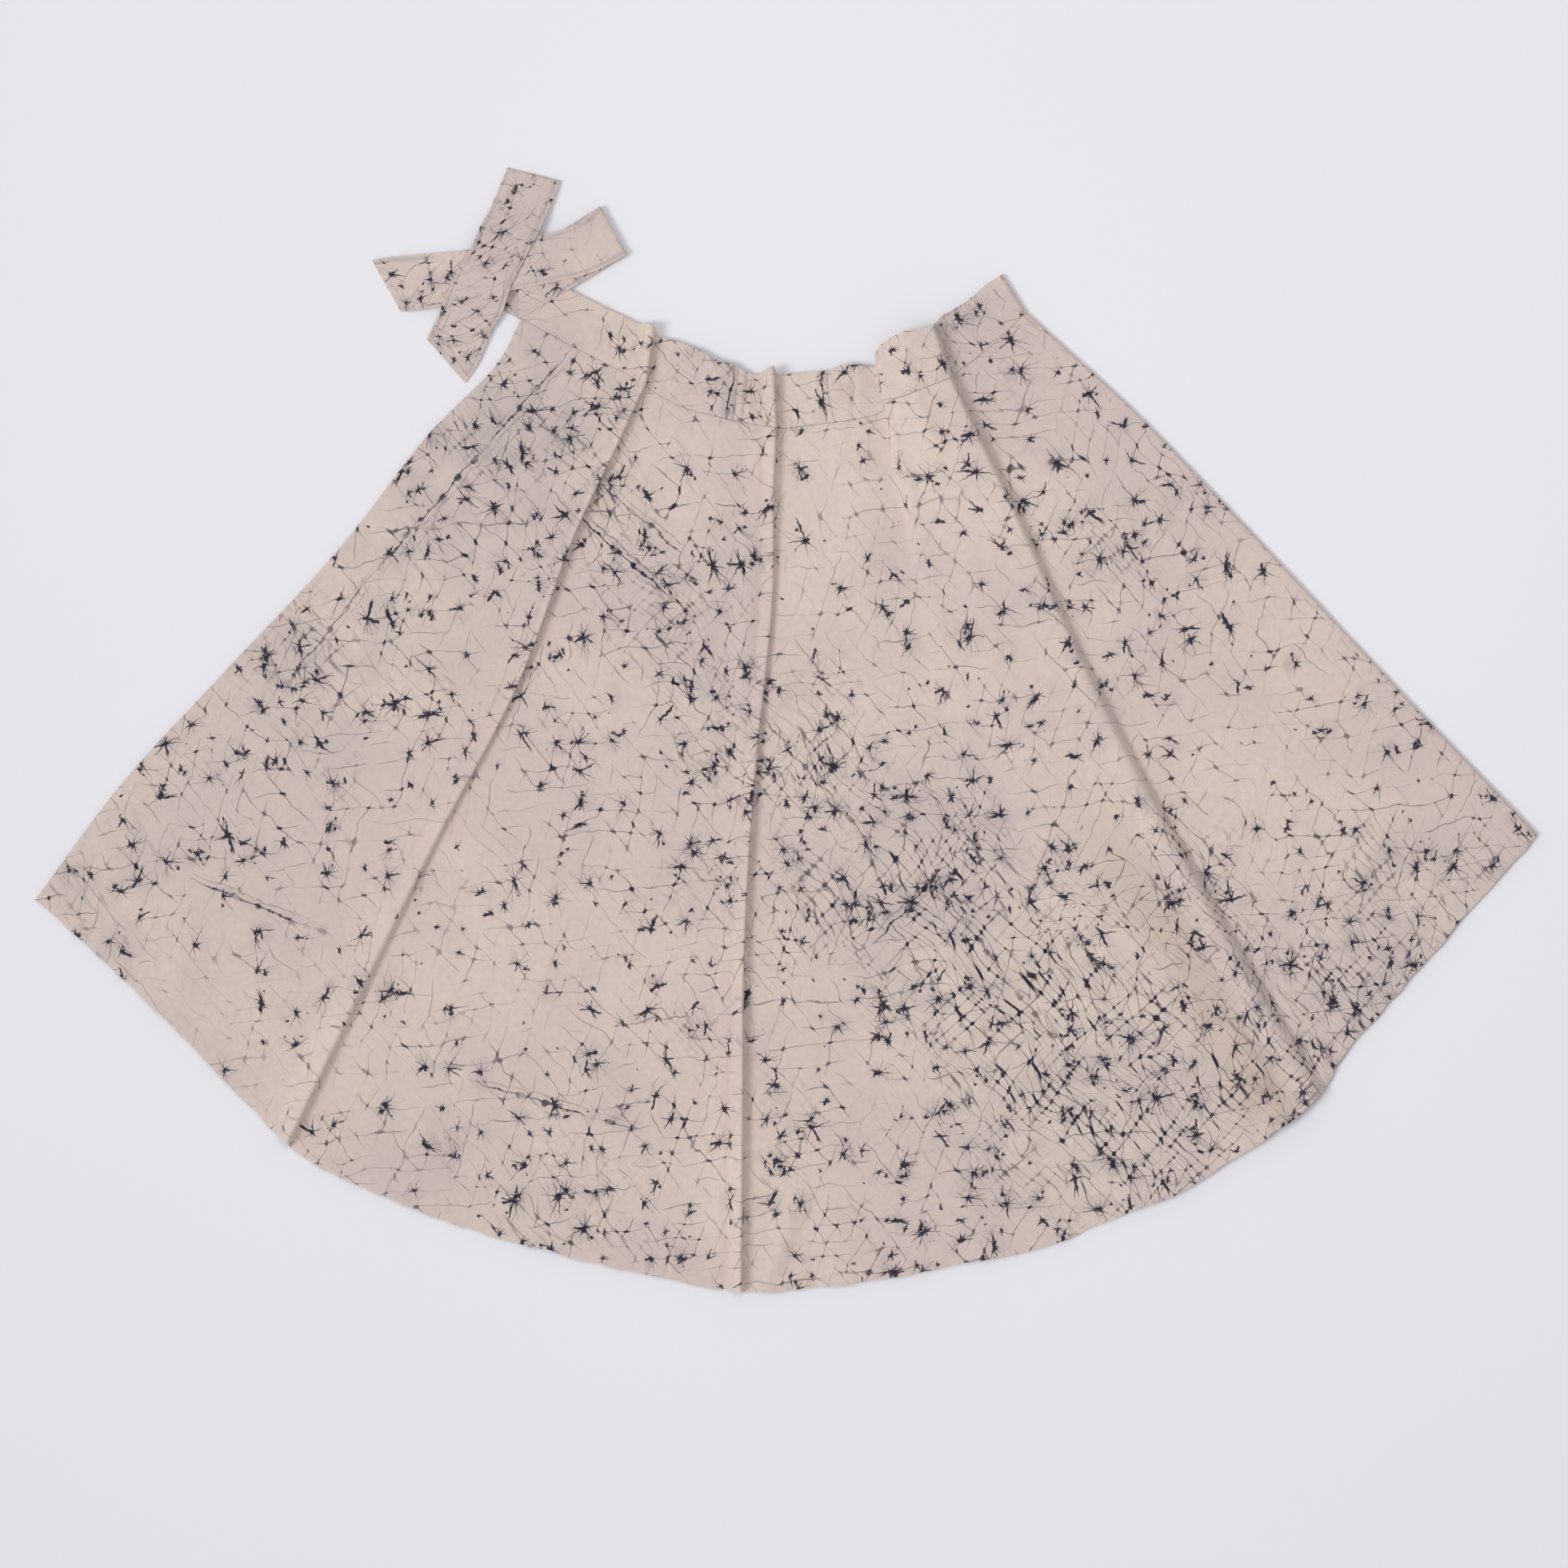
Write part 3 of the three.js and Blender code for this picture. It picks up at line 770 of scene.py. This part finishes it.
def fine_tie_lines(rows):
    """The tie's cross lines with rounded ones between them."""
    lines = tie_lines(rows)
    lows, highs = [line.low for line in lines], [line.high for line in lines]
    fine = []
    for number in range(len(lines) - 1):
        length = (lows[number + 1] + highs[number + 1] - lows[number] - highs[number]).length / 2
        steps = max(2, round(length / TIE_STEP))
        for step in range(steps):
            share = step / steps
            position = number + share
            face = lines[number].face.lerp(lines[number + 1].face, share).normalized()
            fine.append(CrossLine(curve_point(lows, position), curve_point(highs, position), face))
    return [*fine, lines[-1]]


def tie_spot(line, share, along, pattern_start):
    """A spot on a tie's middle surface, with a groove where each edge is sewn, darkened by painted shade."""
    place = line.low.lerp(line.high, share)
    width = (line.high - line.low).length
    from_edge = min(share, 1 - share) * width
    on_wave = Vector((along / TIE_WAVE_LENGTH, share * TIE_WAVES_ACROSS, place.z / TIE_WAVE_RISE))
    wave = TIE_WAVE * noise.noise(on_wave) * smooth(from_edge / TIE_WAVE_INSET)
    groove = math.exp(-(((from_edge - GROOVE_INSET) / GROOVE_WIDTH) ** 2))
    pattern = pattern_start + Vector((along, share * width, 0))
    return Spot(place + line.face * (wave - GROOVE_DEPTH * groove), pattern, False, GROOVE_PAINTED_SHADE * groove)


def tie_cloth(name, rows, pattern_start, material):
    """A tie stretch: a strip of cloth along its cross lines."""
    lines = fine_tie_lines(rows)
    start = Vector((*pattern_start, 0))
    along = 0.0
    spots = []
    for number, line in enumerate(lines):
        if number:
            before = lines[number - 1]
            along += (line.low + line.high - before.low - before.high).length / 2
        spots.append([tie_spot(line, share, along, start) for share in TIE_CROSS_SHARES])
    return cloth_piece(name, grid_sheet(spots), TIE_CLOTH, 0, material)


# ---------------------------------------------------------------- stitches

STITCH_WIDTH = 0.5
STITCH_HEIGHT = 0.35
TIE_STITCH_RISE = 0.05  # a tie's stitches stand this far out of its face

# Kinds of sewing: the distance from stitch to stitch, and a stitch's length
HEM_SEWING = (4.4, 2.4)
SIDE_HEM_SEWING = (3.6, 2.4)
WAIST_SEWING = (3.2, 2.4)
TIE_SEWING = (3.2, 2.3)

# Points along each row of stitches
HEM_STEPS = 320
SIDE_HEM_STEPS = 120
WAIST_STEPS = 160
SIDE_HEM_SPAN = (0.01, 0.95)  # how far down the panel the side hem's stitches start and end


def outer_point(across, down, cloth):
    """A place on the upper half's outer face, and the way out of it."""
    reach, rise = 0.02, 0.004
    here = Column(across)
    run = Column(min(LAST_LINE, across + reach)).inner(down) - Column(max(0, across - reach)).inner(down)
    climb = here.inner(max(-1, down - rise)) - here.inner(min(1, down + rise))
    out = run.cross(climb).normalized()
    return here.inner(down) + out * cloth, out


def stitch_row(sheet, points, pitch, length):
    """Sews even stitches along a line of (place, way out) points."""
    travelled, due = 0.0, pitch / 2
    for (here, out), (there, _) in zip(points, points[1:]):
        run = there - here
        while due < travelled + run.length:
            place = here + run * ((due - travelled) / run.length)
            way = run.normalized()
            side = out.cross(way).normalized()
            turned = Matrix((way * length / 2, side * STITCH_WIDTH / 2, way.cross(side) * STITCH_HEIGHT / 2))
            matrix = Matrix.Translation(place * MM + SHIFT) @ (turned.transposed() * MM).to_4x4()
            bmesh.ops.create_icosphere(sheet, subdivisions=1, radius=1, matrix=matrix)
            due += pitch
        travelled += run.length


def stitches(name, rows_of_points, sewing, material):
    """A piece with one or more rows of stitches."""
    sheet = bmesh.new()
    for points in rows_of_points:
        stitch_row(sheet, points, *sewing)
    return skirt_piece(name, sheet, material)


def hem_line():
    """Along the hem, at the hem's depth."""
    points = []
    for step in range(HEM_STEPS + 1):
        across = LAST_LINE * step / HEM_STEPS
        column = Column(across)
        down = 1 - HEM_DEPTH / (column.hem - column.seam).length
        points.append(outer_point(across, down, PANEL_CLOTH))
    return points


def side_hem_line():
    """Down the opening edge, at the side hem's depth."""
    first, second = LINES[:2]
    points = []
    for step in range(SIDE_HEM_STEPS + 1):
        down = mix(*SIDE_HEM_SPAN, step / SIDE_HEM_STEPS)
        width = (mix(second.seam, second.hem, down) - mix(first.seam, first.hem, down)).length
        points.append(outer_point(SIDE_HEM_DEPTH / width, down, PANEL_CLOTH))
    return points


def waist_line(start, end, down, cloth):
    """Along the waist seam between two line numbers."""
    places = row_places(start, end, WAIST_STEPS)
    return [outer_point(across, down, cloth) for across in places]


def tie_edge_line(rows, first, last, side):
    """Along one edge of a tie, between two shares of its cross lines. side is 0 for the low edge."""
    lines = fine_tie_lines(rows)
    points = []
    for line in lines[int(first * len(lines)):int(last * len(lines))]:
        width = (line.high - line.low).length
        share = TIE_STITCH_INSET / width
        place = line.low.lerp(line.high, 1 - share if side else share)
        out = line.face if line.face.z > 0 else -line.face
        points.append((place + out * (TIE_CLOTH / 2 + TIE_STITCH_RISE), out))
    return points


# ---------------------------------------------------------------- shader tools


def enabled(sockets, key):
    """A socket by its number, or the first one in use with that name."""
    if isinstance(key, int):
        return sockets[key]
    return next(socket for socket in sockets if socket.name == key and socket.enabled)


class Value:
    """A node's output. Its operators add Math nodes."""

    def __init__(self, shader, socket):
        self.shader = shader
        self.socket = socket

    def output(self, name):
        return Value(self.shader, enabled(self.socket.node.outputs, name))

    def maths(self, operation, first, second=0.0):
        return self.shader.add("ShaderNodeMath", {"operation": operation}, {0: first, 1: second})

    def __add__(self, other):
        return self.maths("ADD", self, other)

    def __radd__(self, other):
        return self.maths("ADD", other, self)

    def __sub__(self, other):
        return self.maths("SUBTRACT", self, other)

    def __rsub__(self, other):
        return self.maths("SUBTRACT", other, self)

    def __mul__(self, other):
        return self.maths("MULTIPLY", self, other)

    def __rmul__(self, other):
        return self.maths("MULTIPLY", other, self)

    def __truediv__(self, other):
        return self.maths("DIVIDE", self, other)

    def __pow__(self, other):
        return self.maths("POWER", self, other)

    def __abs__(self):
        return self.maths("ABSOLUTE", self)

    def most(self, other):
        return self.maths("MAXIMUM", self, other)

    def least(self, other):
        return self.maths("MINIMUM", self, other)


class Shader:
    """One material and its nodes."""

    def __init__(self, name, roughness):
        self.material = bpy.data.materials.new(name)
        self.material.use_nodes = True
        self.tree = self.material.node_tree
        self.surface = self.tree.nodes["Principled BSDF"]
        self.surface.inputs["Roughness"].default_value = roughness

    def add(self, kind, settings, sockets, output=None):
        """Adds a node: its settings first, then the values or links of its sockets."""
        node = self.tree.nodes.new(kind)
        for key, value in settings.items():
            setattr(node, key, value)
        for key, value in sockets.items():
            self.feed(enabled(node.inputs, key), value)
        outputs = [socket for socket in node.outputs if socket.enabled]
        return Value(self, enabled(node.outputs, output) if output else outputs[0])

    def feed(self, socket, value):
        if isinstance(value, Value):
            self.tree.links.new(value.socket, socket)
        else:
            socket.default_value = value

    def vector(self, operation, first, second=(0, 0, 0)):
        output = "Value" if operation in ("LENGTH", "DISTANCE", "DOT_PRODUCT") else "Vector"
        return self.add("ShaderNodeVectorMath", {"operation": operation}, {0: first, 1: second}, output)

    def join(self, x, y, z):
        return self.add("ShaderNodeCombineXYZ", {}, {"X": x, "Y": y, "Z": z})

    def parts(self, vector):
        """The x, y and z of a vector."""
        first = self.add("ShaderNodeSeparateXYZ", {}, {"Vector": vector})
        return first, first.output("Y"), first.output("Z")

    def ramp(self, value, low, high, to_low=0.0, to_high=1.0):
        """An eased run from to_low at low to to_high at high."""
        sockets = {"Value": value, "From Min": low, "From Max": high, "To Min": to_low, "To Max": to_high}
        return self.add("ShaderNodeMapRange", {"interpolation_type": "SMOOTHSTEP"}, sockets)

    def blend(self, share, first, second):
        """A colour between two colours."""
        sockets = {0: share, "A": first, "B": second}
        return self.add("ShaderNodeMix", {"data_type": "RGBA"}, sockets)

    def noise(self, place, size, detail=1.0, dimensions="2D"):
        sockets = {"Vector": place, "Scale": 1 / size, "Detail": detail}
        return self.add("ShaderNodeTexNoise", {"noise_dimensions": dimensions}, sockets)

    def sway(self, place, size, amount, detail=1.0):
        """A value that swings softly to both sides of zero."""
        return (self.noise(place, size, detail) - 0.5) * amount

    def attribute(self, name, output="Fac"):
        return self.add("ShaderNodeAttribute", {"attribute_name": name}, {}, output)


def colour(red, green, blue):
    """A colour from screen values up to 255."""
    def linear(value):
        share = value / 255
        return share / 12.92 if share <= 0.04045 else ((share + 0.055) / 1.055) ** 2.4
    return (linear(red), linear(green), linear(blue), 1)


CREAM = colour(230, 212, 199)
PINK_CREAM = colour(222, 203, 195)
# Lilac grey is the cloth's grey cast, and also the painted shade in the ties' sewn grooves
LILAC_GREY = colour(200, 186, 183)
# Tan is for a stain on the band, and for painted shade beside the folds and in the band's valley
STAIN_AND_PAINTED_SHADE_TAN = colour(205, 184, 164)
RUST = colour(212, 166, 112)
HAZE = colour(158, 149, 158)
INK = colour(15, 13, 44)
THREAD = colour(232, 219, 206)

# ---------------------------------------------------------------- the crumple dye


def bent(shader, place, size, amount):
    """A place that is moved a little, unevenly, so that straight marks bend."""
    moved = shader.vector("SUBTRACT", shader.noise(place, size).output("Color"), (0.5, 0.5, 0.5))
    moved = shader.vector("MULTIPLY", moved, (amount, amount, 0))
    return shader.vector("ADD", place, moved)


def around(shader, way, turns, seed):
    """An uneven value that changes with the way from a knot, and differs from knot to knot."""
    turned = shader.vector("MULTIPLY", way, (turns, turns, 0))
    return shader.noise(shader.vector("ADD", turned, shader.join(0.0, 0.0, seed)), 1, 0.0, "3D")


def arms(shader, noise_value, distance, half_width, reach):
    """Lines of even width that run out from a knot and taper to nothing at their reach."""
    off_line = abs(noise_value - 0.5) ** 0.7 * distance
    taper = (1 - distance / (reach + 0.00001)).most(0.0)
    return shader.ramp(off_line / (half_width * taper + 0.000001), 0.5, 1.25, 1.0, 0.0)


def ink_knots(shader, place, size, density, shift):
    """Dark uneven knots, at most one to a cell, with short tapering arms and long hairs."""
    place = shader.vector("ADD", place, (shift, shift * 0.7, 0))
    nearest = shader.add("ShaderNodeTexVoronoi", {"voronoi_dimensions": "2D", "feature": "F1"},
                         {"Vector": place, "Scale": 1 / size})
    chance, bulk, _ = shader.parts(nearest.output("Color"))
    step = shader.vector("SUBTRACT", place, nearest.output("Position"))
    distance = shader.vector("LENGTH", step)
    way = shader.vector("NORMALIZE", step)

    strength = shader.ramp(density - chance, 0.0, 0.3)
    bulk = (bulk * bulk + 0.33) * strength * size
    arm_way, luck, hair_way = shader.parts(around(shader, way, 1.15, chance * 37.0).output("Color"))
    core = shader.ramp(distance / (bulk * (luck * 0.1 - 0.012) + 0.000001), 0.7, 1.2, 1.0, 0.0)
    short_arms = arms(shader, arm_way, distance, bulk * 0.017, bulk * (luck * luck * 0.52 + 0.03))
    hairs = arms(shader, hair_way, distance, 0.0006, bulk * (luck * 2.4 + 0.1))
    inside = shader.ramp(nearest, 0.4, 0.7, 0.95, 0.0)
    haze = strength * shader.ramp(nearest, 0.0, 0.75, 1.0, 0.0)
    return core.most(short_arms).most(hairs * inside), haze


def long_lines(shader, place, angle, spacing, run):
    """Many lines that run nearly one way: the distance to the nearest, and how strong it is here."""
    turned = shader.add("ShaderNodeMapping", {"vector_type": "TEXTURE"}, {
        "Vector": place, "Rotation": (0, 0, math.radians(angle))})
    along, across, _ = shader.parts(turned)
    uneven = shader.sway(shader.join(across, 0.7, 0.0), spacing * 4, spacing * 2.2, 0.0)
    row = (across + uneven) / spacing
    off_line = abs(row.maths("FRACT", row) - 0.5) * spacing
    luck = shader.noise(shader.join(along / run, row.maths("FLOOR", row) * 3.7, 0.0), 1.0)
    return off_line, shader.ramp(luck, 0.42, 0.62)


def crossing_lines(shader, lines, presence):
    """Thin lines that run several ways, and thicken into knots where they cross."""
    crossed = 0.0
    for (off_line, strength), (off_other, other_strength) in zip(lines, lines[1:] + lines[:1]):
        near = shader.ramp(off_other, 0.0, 0.0042, 1.0, 0.0)
        near = near * near * near * other_strength
        ink = shader.ramp(off_line / (near * 0.0017 + 0.00033), 0.5, 1.25, 1.0, 0.0)
        crossed = (ink * strength * (near * 0.5 + 0.7)).most(crossed)
    return crossed * presence


def ink_chain(shader, place):
    """Rows of knots along the straight folds: a strong line and a weaker one beside it."""
    along, across, strength = shader.parts(shader.attribute("chain", "Vector"))
    beads = shader.ramp(shader.noise(shader.join(along, 0.0, 0.0), 0.011, 4.0), 0.42, 0.64)
    present = shader.ramp(shader.noise(shader.join(along, 0.3, 0.0), 0.03, 2.0), 0.32, 0.52, 0.25, 1.0)
    strength = strength * (1 / MM) * present
    across = across + shader.sway(place, 0.016, 0.006)
    ragged = shader.sway(place, 0.0022, 0.0022) * beads
    main_line = abs(across + ragged) / (beads * beads * 0.0023 + 0.00042)
    main_line = shader.ramp(main_line, 0.5, 1.3, 1.0, 0.0)
    side_line = abs(across + 0.0052) / (beads * 0.0008 + 0.0003)
    side_line = shader.ramp(side_line, 0.5, 1.4, 0.4, 0.0)
    haze = shader.ramp(abs(across), 0.0, 0.008, 0.5, 0.0)
    return main_line.most(side_line) * strength, haze * strength


def weave(shader, place):
    """The relief of a plain weave of fine yarns."""
    yarn = 0.0006
    x, y, _ = shader.parts(place)
    over = x.maths("SINE", x * (2 * math.pi / yarn))
    under = y.maths("SINE", y * (2 * math.pi / yarn))
    return over * under


def crumple_dye(shader, pattern, place, density):
    """The ink of the knots, the thin lines and the straight folds, and the haze round them."""
    knotted = bent(shader, place, 0.003, 0.0021)
    shared = density.least(0.74)
    large, large_haze = ink_knots(shader, knotted, 0.028, shared * 1.05, 0.0)
    middle, middle_haze = ink_knots(shader, knotted, 0.0175, shared * 0.54 - 0.07 + large_haze * 0.15, 1.3)
    small, _ = ink_knots(shader, knotted, 0.0095, shared * 0.26 - 0.17 + large_haze * 0.35, 2.9)
    gathered = shader.ramp(density, 0.55, 1.1)
    curving = bent(shader, place, 0.024, 0.008)
    level = long_lines(shader, curving, 6, 0.0155, 0.035)
    steep = long_lines(shader, curving, 72, 0.0165, 0.035)
    slanted = long_lines(shader, curving, 131, 0.0145, 0.035)
    falling = long_lines(shader, place, -42, 0.0058, 0.06)
    rising = long_lines(shader, place, 48, 0.0105, 0.045)
    dropping = long_lines(shader, curving, -64, 0.0095, 0.045)
    spread = crossing_lines(shader, [level, steep, slanted], shader.ramp(density, 0.1, 0.7, 0.25, 0.9))
    crowded = crossing_lines(shader, [falling, rising, dropping], gathered)
    chain, chain_haze = ink_chain(shader, pattern)
    ink = large.most(middle).most(small).most(spread).most(crowded).most(chain)
    haze = large_haze * 0.3 + middle_haze * 0.22 + chain_haze * 0.5 + gathered * 0.12
    haze = haze * shader.ramp(shader.noise(place, 0.017, 3.0), 0.3, 0.75)
    return ink.least(0.97), haze.least(0.6)


def undyed_cloth_and_painted_shade(shader, pattern, lilac_shift):
    """The cloth's colour under the ink, with its casts, slubs and mottling, and painted shade in grooves and
    beside folds.
    """
    soft = shader.ramp(shader.noise(pattern, 0.16, 2.0), 0.35, 0.65)
    base = shader.blend(soft, CREAM, PINK_CREAM)
    cloudy = shader.ramp(shader.noise(pattern, 0.045, 3.0), 0.25, 0.7)
    lilac_cast_and_painted_shade = (shader.attribute("lilac_cast_and_painted_shade") + lilac_shift) * cloudy
    # The lilac grey cast, with the painted shade of the ties' sewn grooves
    base = shader.blend(lilac_cast_and_painted_shade.least(1.0), base, LILAC_GREY)
    # Tan stains, and painted shade beside the folds and in the band's valley
    base = shader.blend(shader.attribute("tan_stain_and_painted_shade") * 0.6, base, STAIN_AND_PAINTED_SHADE_TAN)
    base = rust_marks(shader, base)
    streaks = shader.add("ShaderNodeMapping", {}, {"Vector": pattern, "Scale": (1.0, 0.12, 1.0)})
    slubs = shader.ramp(shader.noise(streaks, 0.0022, 2.0), 0.3, 0.7, 0.0, 0.09)
    mottle = shader.ramp(shader.noise(pattern, 0.006, 4.0), 0.35, 0.65, 0.0, 0.22)
    return shader.blend(slubs + mottle, base, LILAC_GREY)


def cotton(name, fineness, density_shift, lilac_shift):
    """Cream cotton with a fine dark blue crumple dye. The fineness shrinks its knots and lines."""
    shader = Shader(name, 0.92)
    for key, value in (("Sheen Weight", 0.12), ("Sheen Roughness", 0.6), ("Specular IOR Level", 0.2)):
        shader.surface.inputs[key].default_value = value
    pattern = shader.add("ShaderNodeUVMap", {"uv_map": "pattern"}, {})
    scaled = shader.vector("MULTIPLY", pattern, (fineness, fineness, 1))
    place = bent(shader, bent(shader, scaled, 0.085, 0.02), 0.011, 0.0022)
    density = shader.attribute("ink_density") + density_shift + shader.sway(pattern, 0.06, 0.6)
    ink, haze = crumple_dye(shader, pattern, place, density)
    base = shader.blend(haze, undyed_cloth_and_painted_shade(shader, pattern, lilac_shift), HAZE)
    shader.feed(shader.surface.inputs["Base Color"], shader.blend(ink, base, INK))

    crumple = shader.noise(pattern, 0.009, 3.0) * 0.00022 + shader.noise(pattern, 0.0016, 2.0) * 0.00005
    height = crumple + weave(shader, pattern) * 0.00002
    bump = shader.add("ShaderNodeBump", {}, {"Strength": 0.9, "Distance": 1.0, "Height": height})
    shader.feed(shader.surface.inputs["Normal"], bump)
    return shader.material


def rust_marks(shader, base):
    """The small rust marks on the panel."""
    place = shader.add("ShaderNodeTexCoord", {}, {}, "Object")
    place = bent(shader, place, 0.004, 0.004)
    for _, x, y, radius, strength in RUST_MARKS:
        centre = Vector((x, y, 0)) * MM + SHIFT
        flat = shader.vector("MULTIPLY", place, (1, 1, 0))
        distance = shader.vector("DISTANCE", flat, tuple(centre))
        mark = shader.ramp(distance, 0.2 * radius * MM, radius * MM, strength, 0.0)
        base = shader.blend(mark, base, RUST)
    return base


def thread_material():
    """Pale sewing thread, twisted."""
    shader = Shader("sewing_thread", 0.75)
    place = shader.add("ShaderNodeTexCoord", {}, {}, "Object")
    twist = shader.ramp(shader.noise(place, 0.0008, 2.0, "3D"), 0.3, 0.7)
    shader.feed(shader.surface.inputs["Base Color"], shader.blend(twist, THREAD, PINK_CREAM))
    return shader.material


# ---------------------------------------------------------------- stage

VIEW_CENTRE = Vector((-0.0021, -0.0457, 0))
VIEW_WIDTH = 1.327
CAMERA_HEIGHT = 4.5
SENSOR = 36
FLOOR_SIZE = 20
FLOOR_DROP = 0.0002  # keeps the floor clear of the cloth that lies on it
CEILING_PLACE = Vector((0.05, 0.45, 2.2))
CEILING_AIM = Vector((0.02, 0.3, 0))


def make_camera():
    data = bpy.data.cameras.new("camera")
    data.sensor_width = SENSOR
    data.lens = SENSOR * CAMERA_HEIGHT / VIEW_WIDTH
    data.clip_end = 50
    camera = scene_object("camera", data)
    camera.location = VIEW_CENTRE + UP * CAMERA_HEIGHT
    bpy.context.scene.camera = camera


def make_light(kind, name, way, strength, tint):
    """A light that shines one way."""
    data = bpy.data.lights.new(name, kind)
    data.energy = strength
    data.color = tint
    light = scene_object(name, data)
    light.rotation_mode = "QUATERNION"
    light.rotation_quaternion = way.to_track_quat("-Z", "Y")
    return light


def make_stage():
    """A pale floor, a soft light from the left, a faint one overhead and an even sky."""
    sheet = bmesh.new()
    bmesh.ops.create_grid(sheet, x_segments=1, y_segments=1, size=FLOOR_SIZE)
    bmesh.ops.translate(sheet, verts=sheet.verts, vec=(0, 0, -FLOOR_DROP))
    shader = Shader("pale_floor", 0.6)
    place = shader.add("ShaderNodeTexCoord", {}, {}, "Object")
    mottled = shader.noise(place, 0.5, 2.0, "3D")
    floor_colour = shader.blend(mottled, colour(246, 246, 250), colour(243, 243, 248))
    shader.feed(shader.surface.inputs["Base Color"], floor_colour)
    floor = mesh_object("floor", sheet, shader.material)
    window = make_light("SUN", "window", Vector((0.74, 0.24, -0.86)), 1.22, (1, 0.985, 0.975))
    window.data.angle = math.radians(24)
    ceiling = make_light("AREA", "ceiling", CEILING_AIM - CEILING_PLACE, 7, (1, 0.99, 1))
    ceiling.location = CEILING_PLACE
    ceiling.data.shape = "DISK"
    ceiling.data.size = 0.8
    world = bpy.data.worlds.new("sky")
    world.use_nodes = True
    background = world.node_tree.nodes["Background"]
    background.inputs["Color"].default_value = (0.975, 0.98, 1, 1)
    background.inputs["Strength"].default_value = 0.47
    bpy.context.scene.world = world
    bpy.context.scene.view_settings.view_transform = "Standard"


# ---------------------------------------------------------------- the skirt


def make_skirt():
    panel_cotton = cotton("panel_cotton", 1.0, 0.0, 0.0)
    band_cotton = cotton("band_cotton", 1.1, 0.0, 0.05)
    tie_cotton = cotton("tie_cotton", 1.35, 0.2, 0.3)
    thread = thread_material()

    hem_length = (LINES[0].hem - LINES[0].seam).length
    step_rows = [1 - (TURN_START - offset) / hem_length for offset in TURN_ROWS]
    panel_rows = row_places(0, 1, PANEL_ROWS, step_rows)
    panel = folded_cloth("panel_cloth", panel_rows, PANEL_CLOTH, -SEAM_GAP, panel_cotton)
    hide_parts("skirt_upper_half", "skirt_hidden_half")

    band_rows = row_places(-1, 0, BAND_ROWS)
    band = folded_cloth("waistband_cloth", band_rows, BAND_CLOTH, SEAM_GAP, band_cotton)
    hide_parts("waistband_upper", "waistband_hidden")

    tie_one = tie_cloth("tie_one_cloth", TIE_ONE, TIE_ONE_PATTERN, tie_cotton)
    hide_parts("tie_one")
    tie_two = tie_cloth("tie_two_cloth", TIE_TWO, TIE_TWO_PATTERN, tie_cotton)
    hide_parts("tie_two")
    root = tie_cloth("tie_two_root_cloth", TIE_TWO_ROOT, TIE_TWO_ROOT_PATTERN, tie_cotton)
    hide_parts("tie_two_root")

    hem_sewing = stitches("hem_stitching", [hem_line()], HEM_SEWING, thread)
    side_sewing = stitches("side_hem_stitching", [side_hem_line()], SIDE_HEM_SEWING, thread)
    waist_rows = [
        waist_line(0.05, 15.95, -0.045, BAND_CLOTH),
        waist_line(0.3, 2.7, 0.005, PANEL_CLOTH),
    ]
    waist_sewing = stitches("waist_stitching", waist_rows, WAIST_SEWING, thread)
    tie_one_rows = [tie_edge_line(TIE_ONE, 0.55, 0.99, side) for side in (0, 1)]
    tie_one_sewing = stitches("tie_one_stitching", tie_one_rows, TIE_SEWING, thread)
    tie_two_rows = [tie_edge_line(TIE_TWO, 0.5, 0.99, side) for side in (0, 1)]
    tie_two_sewing = stitches("tie_two_stitching", tie_two_rows, TIE_SEWING, thread)


make_camera()
make_stage()
make_skirt()
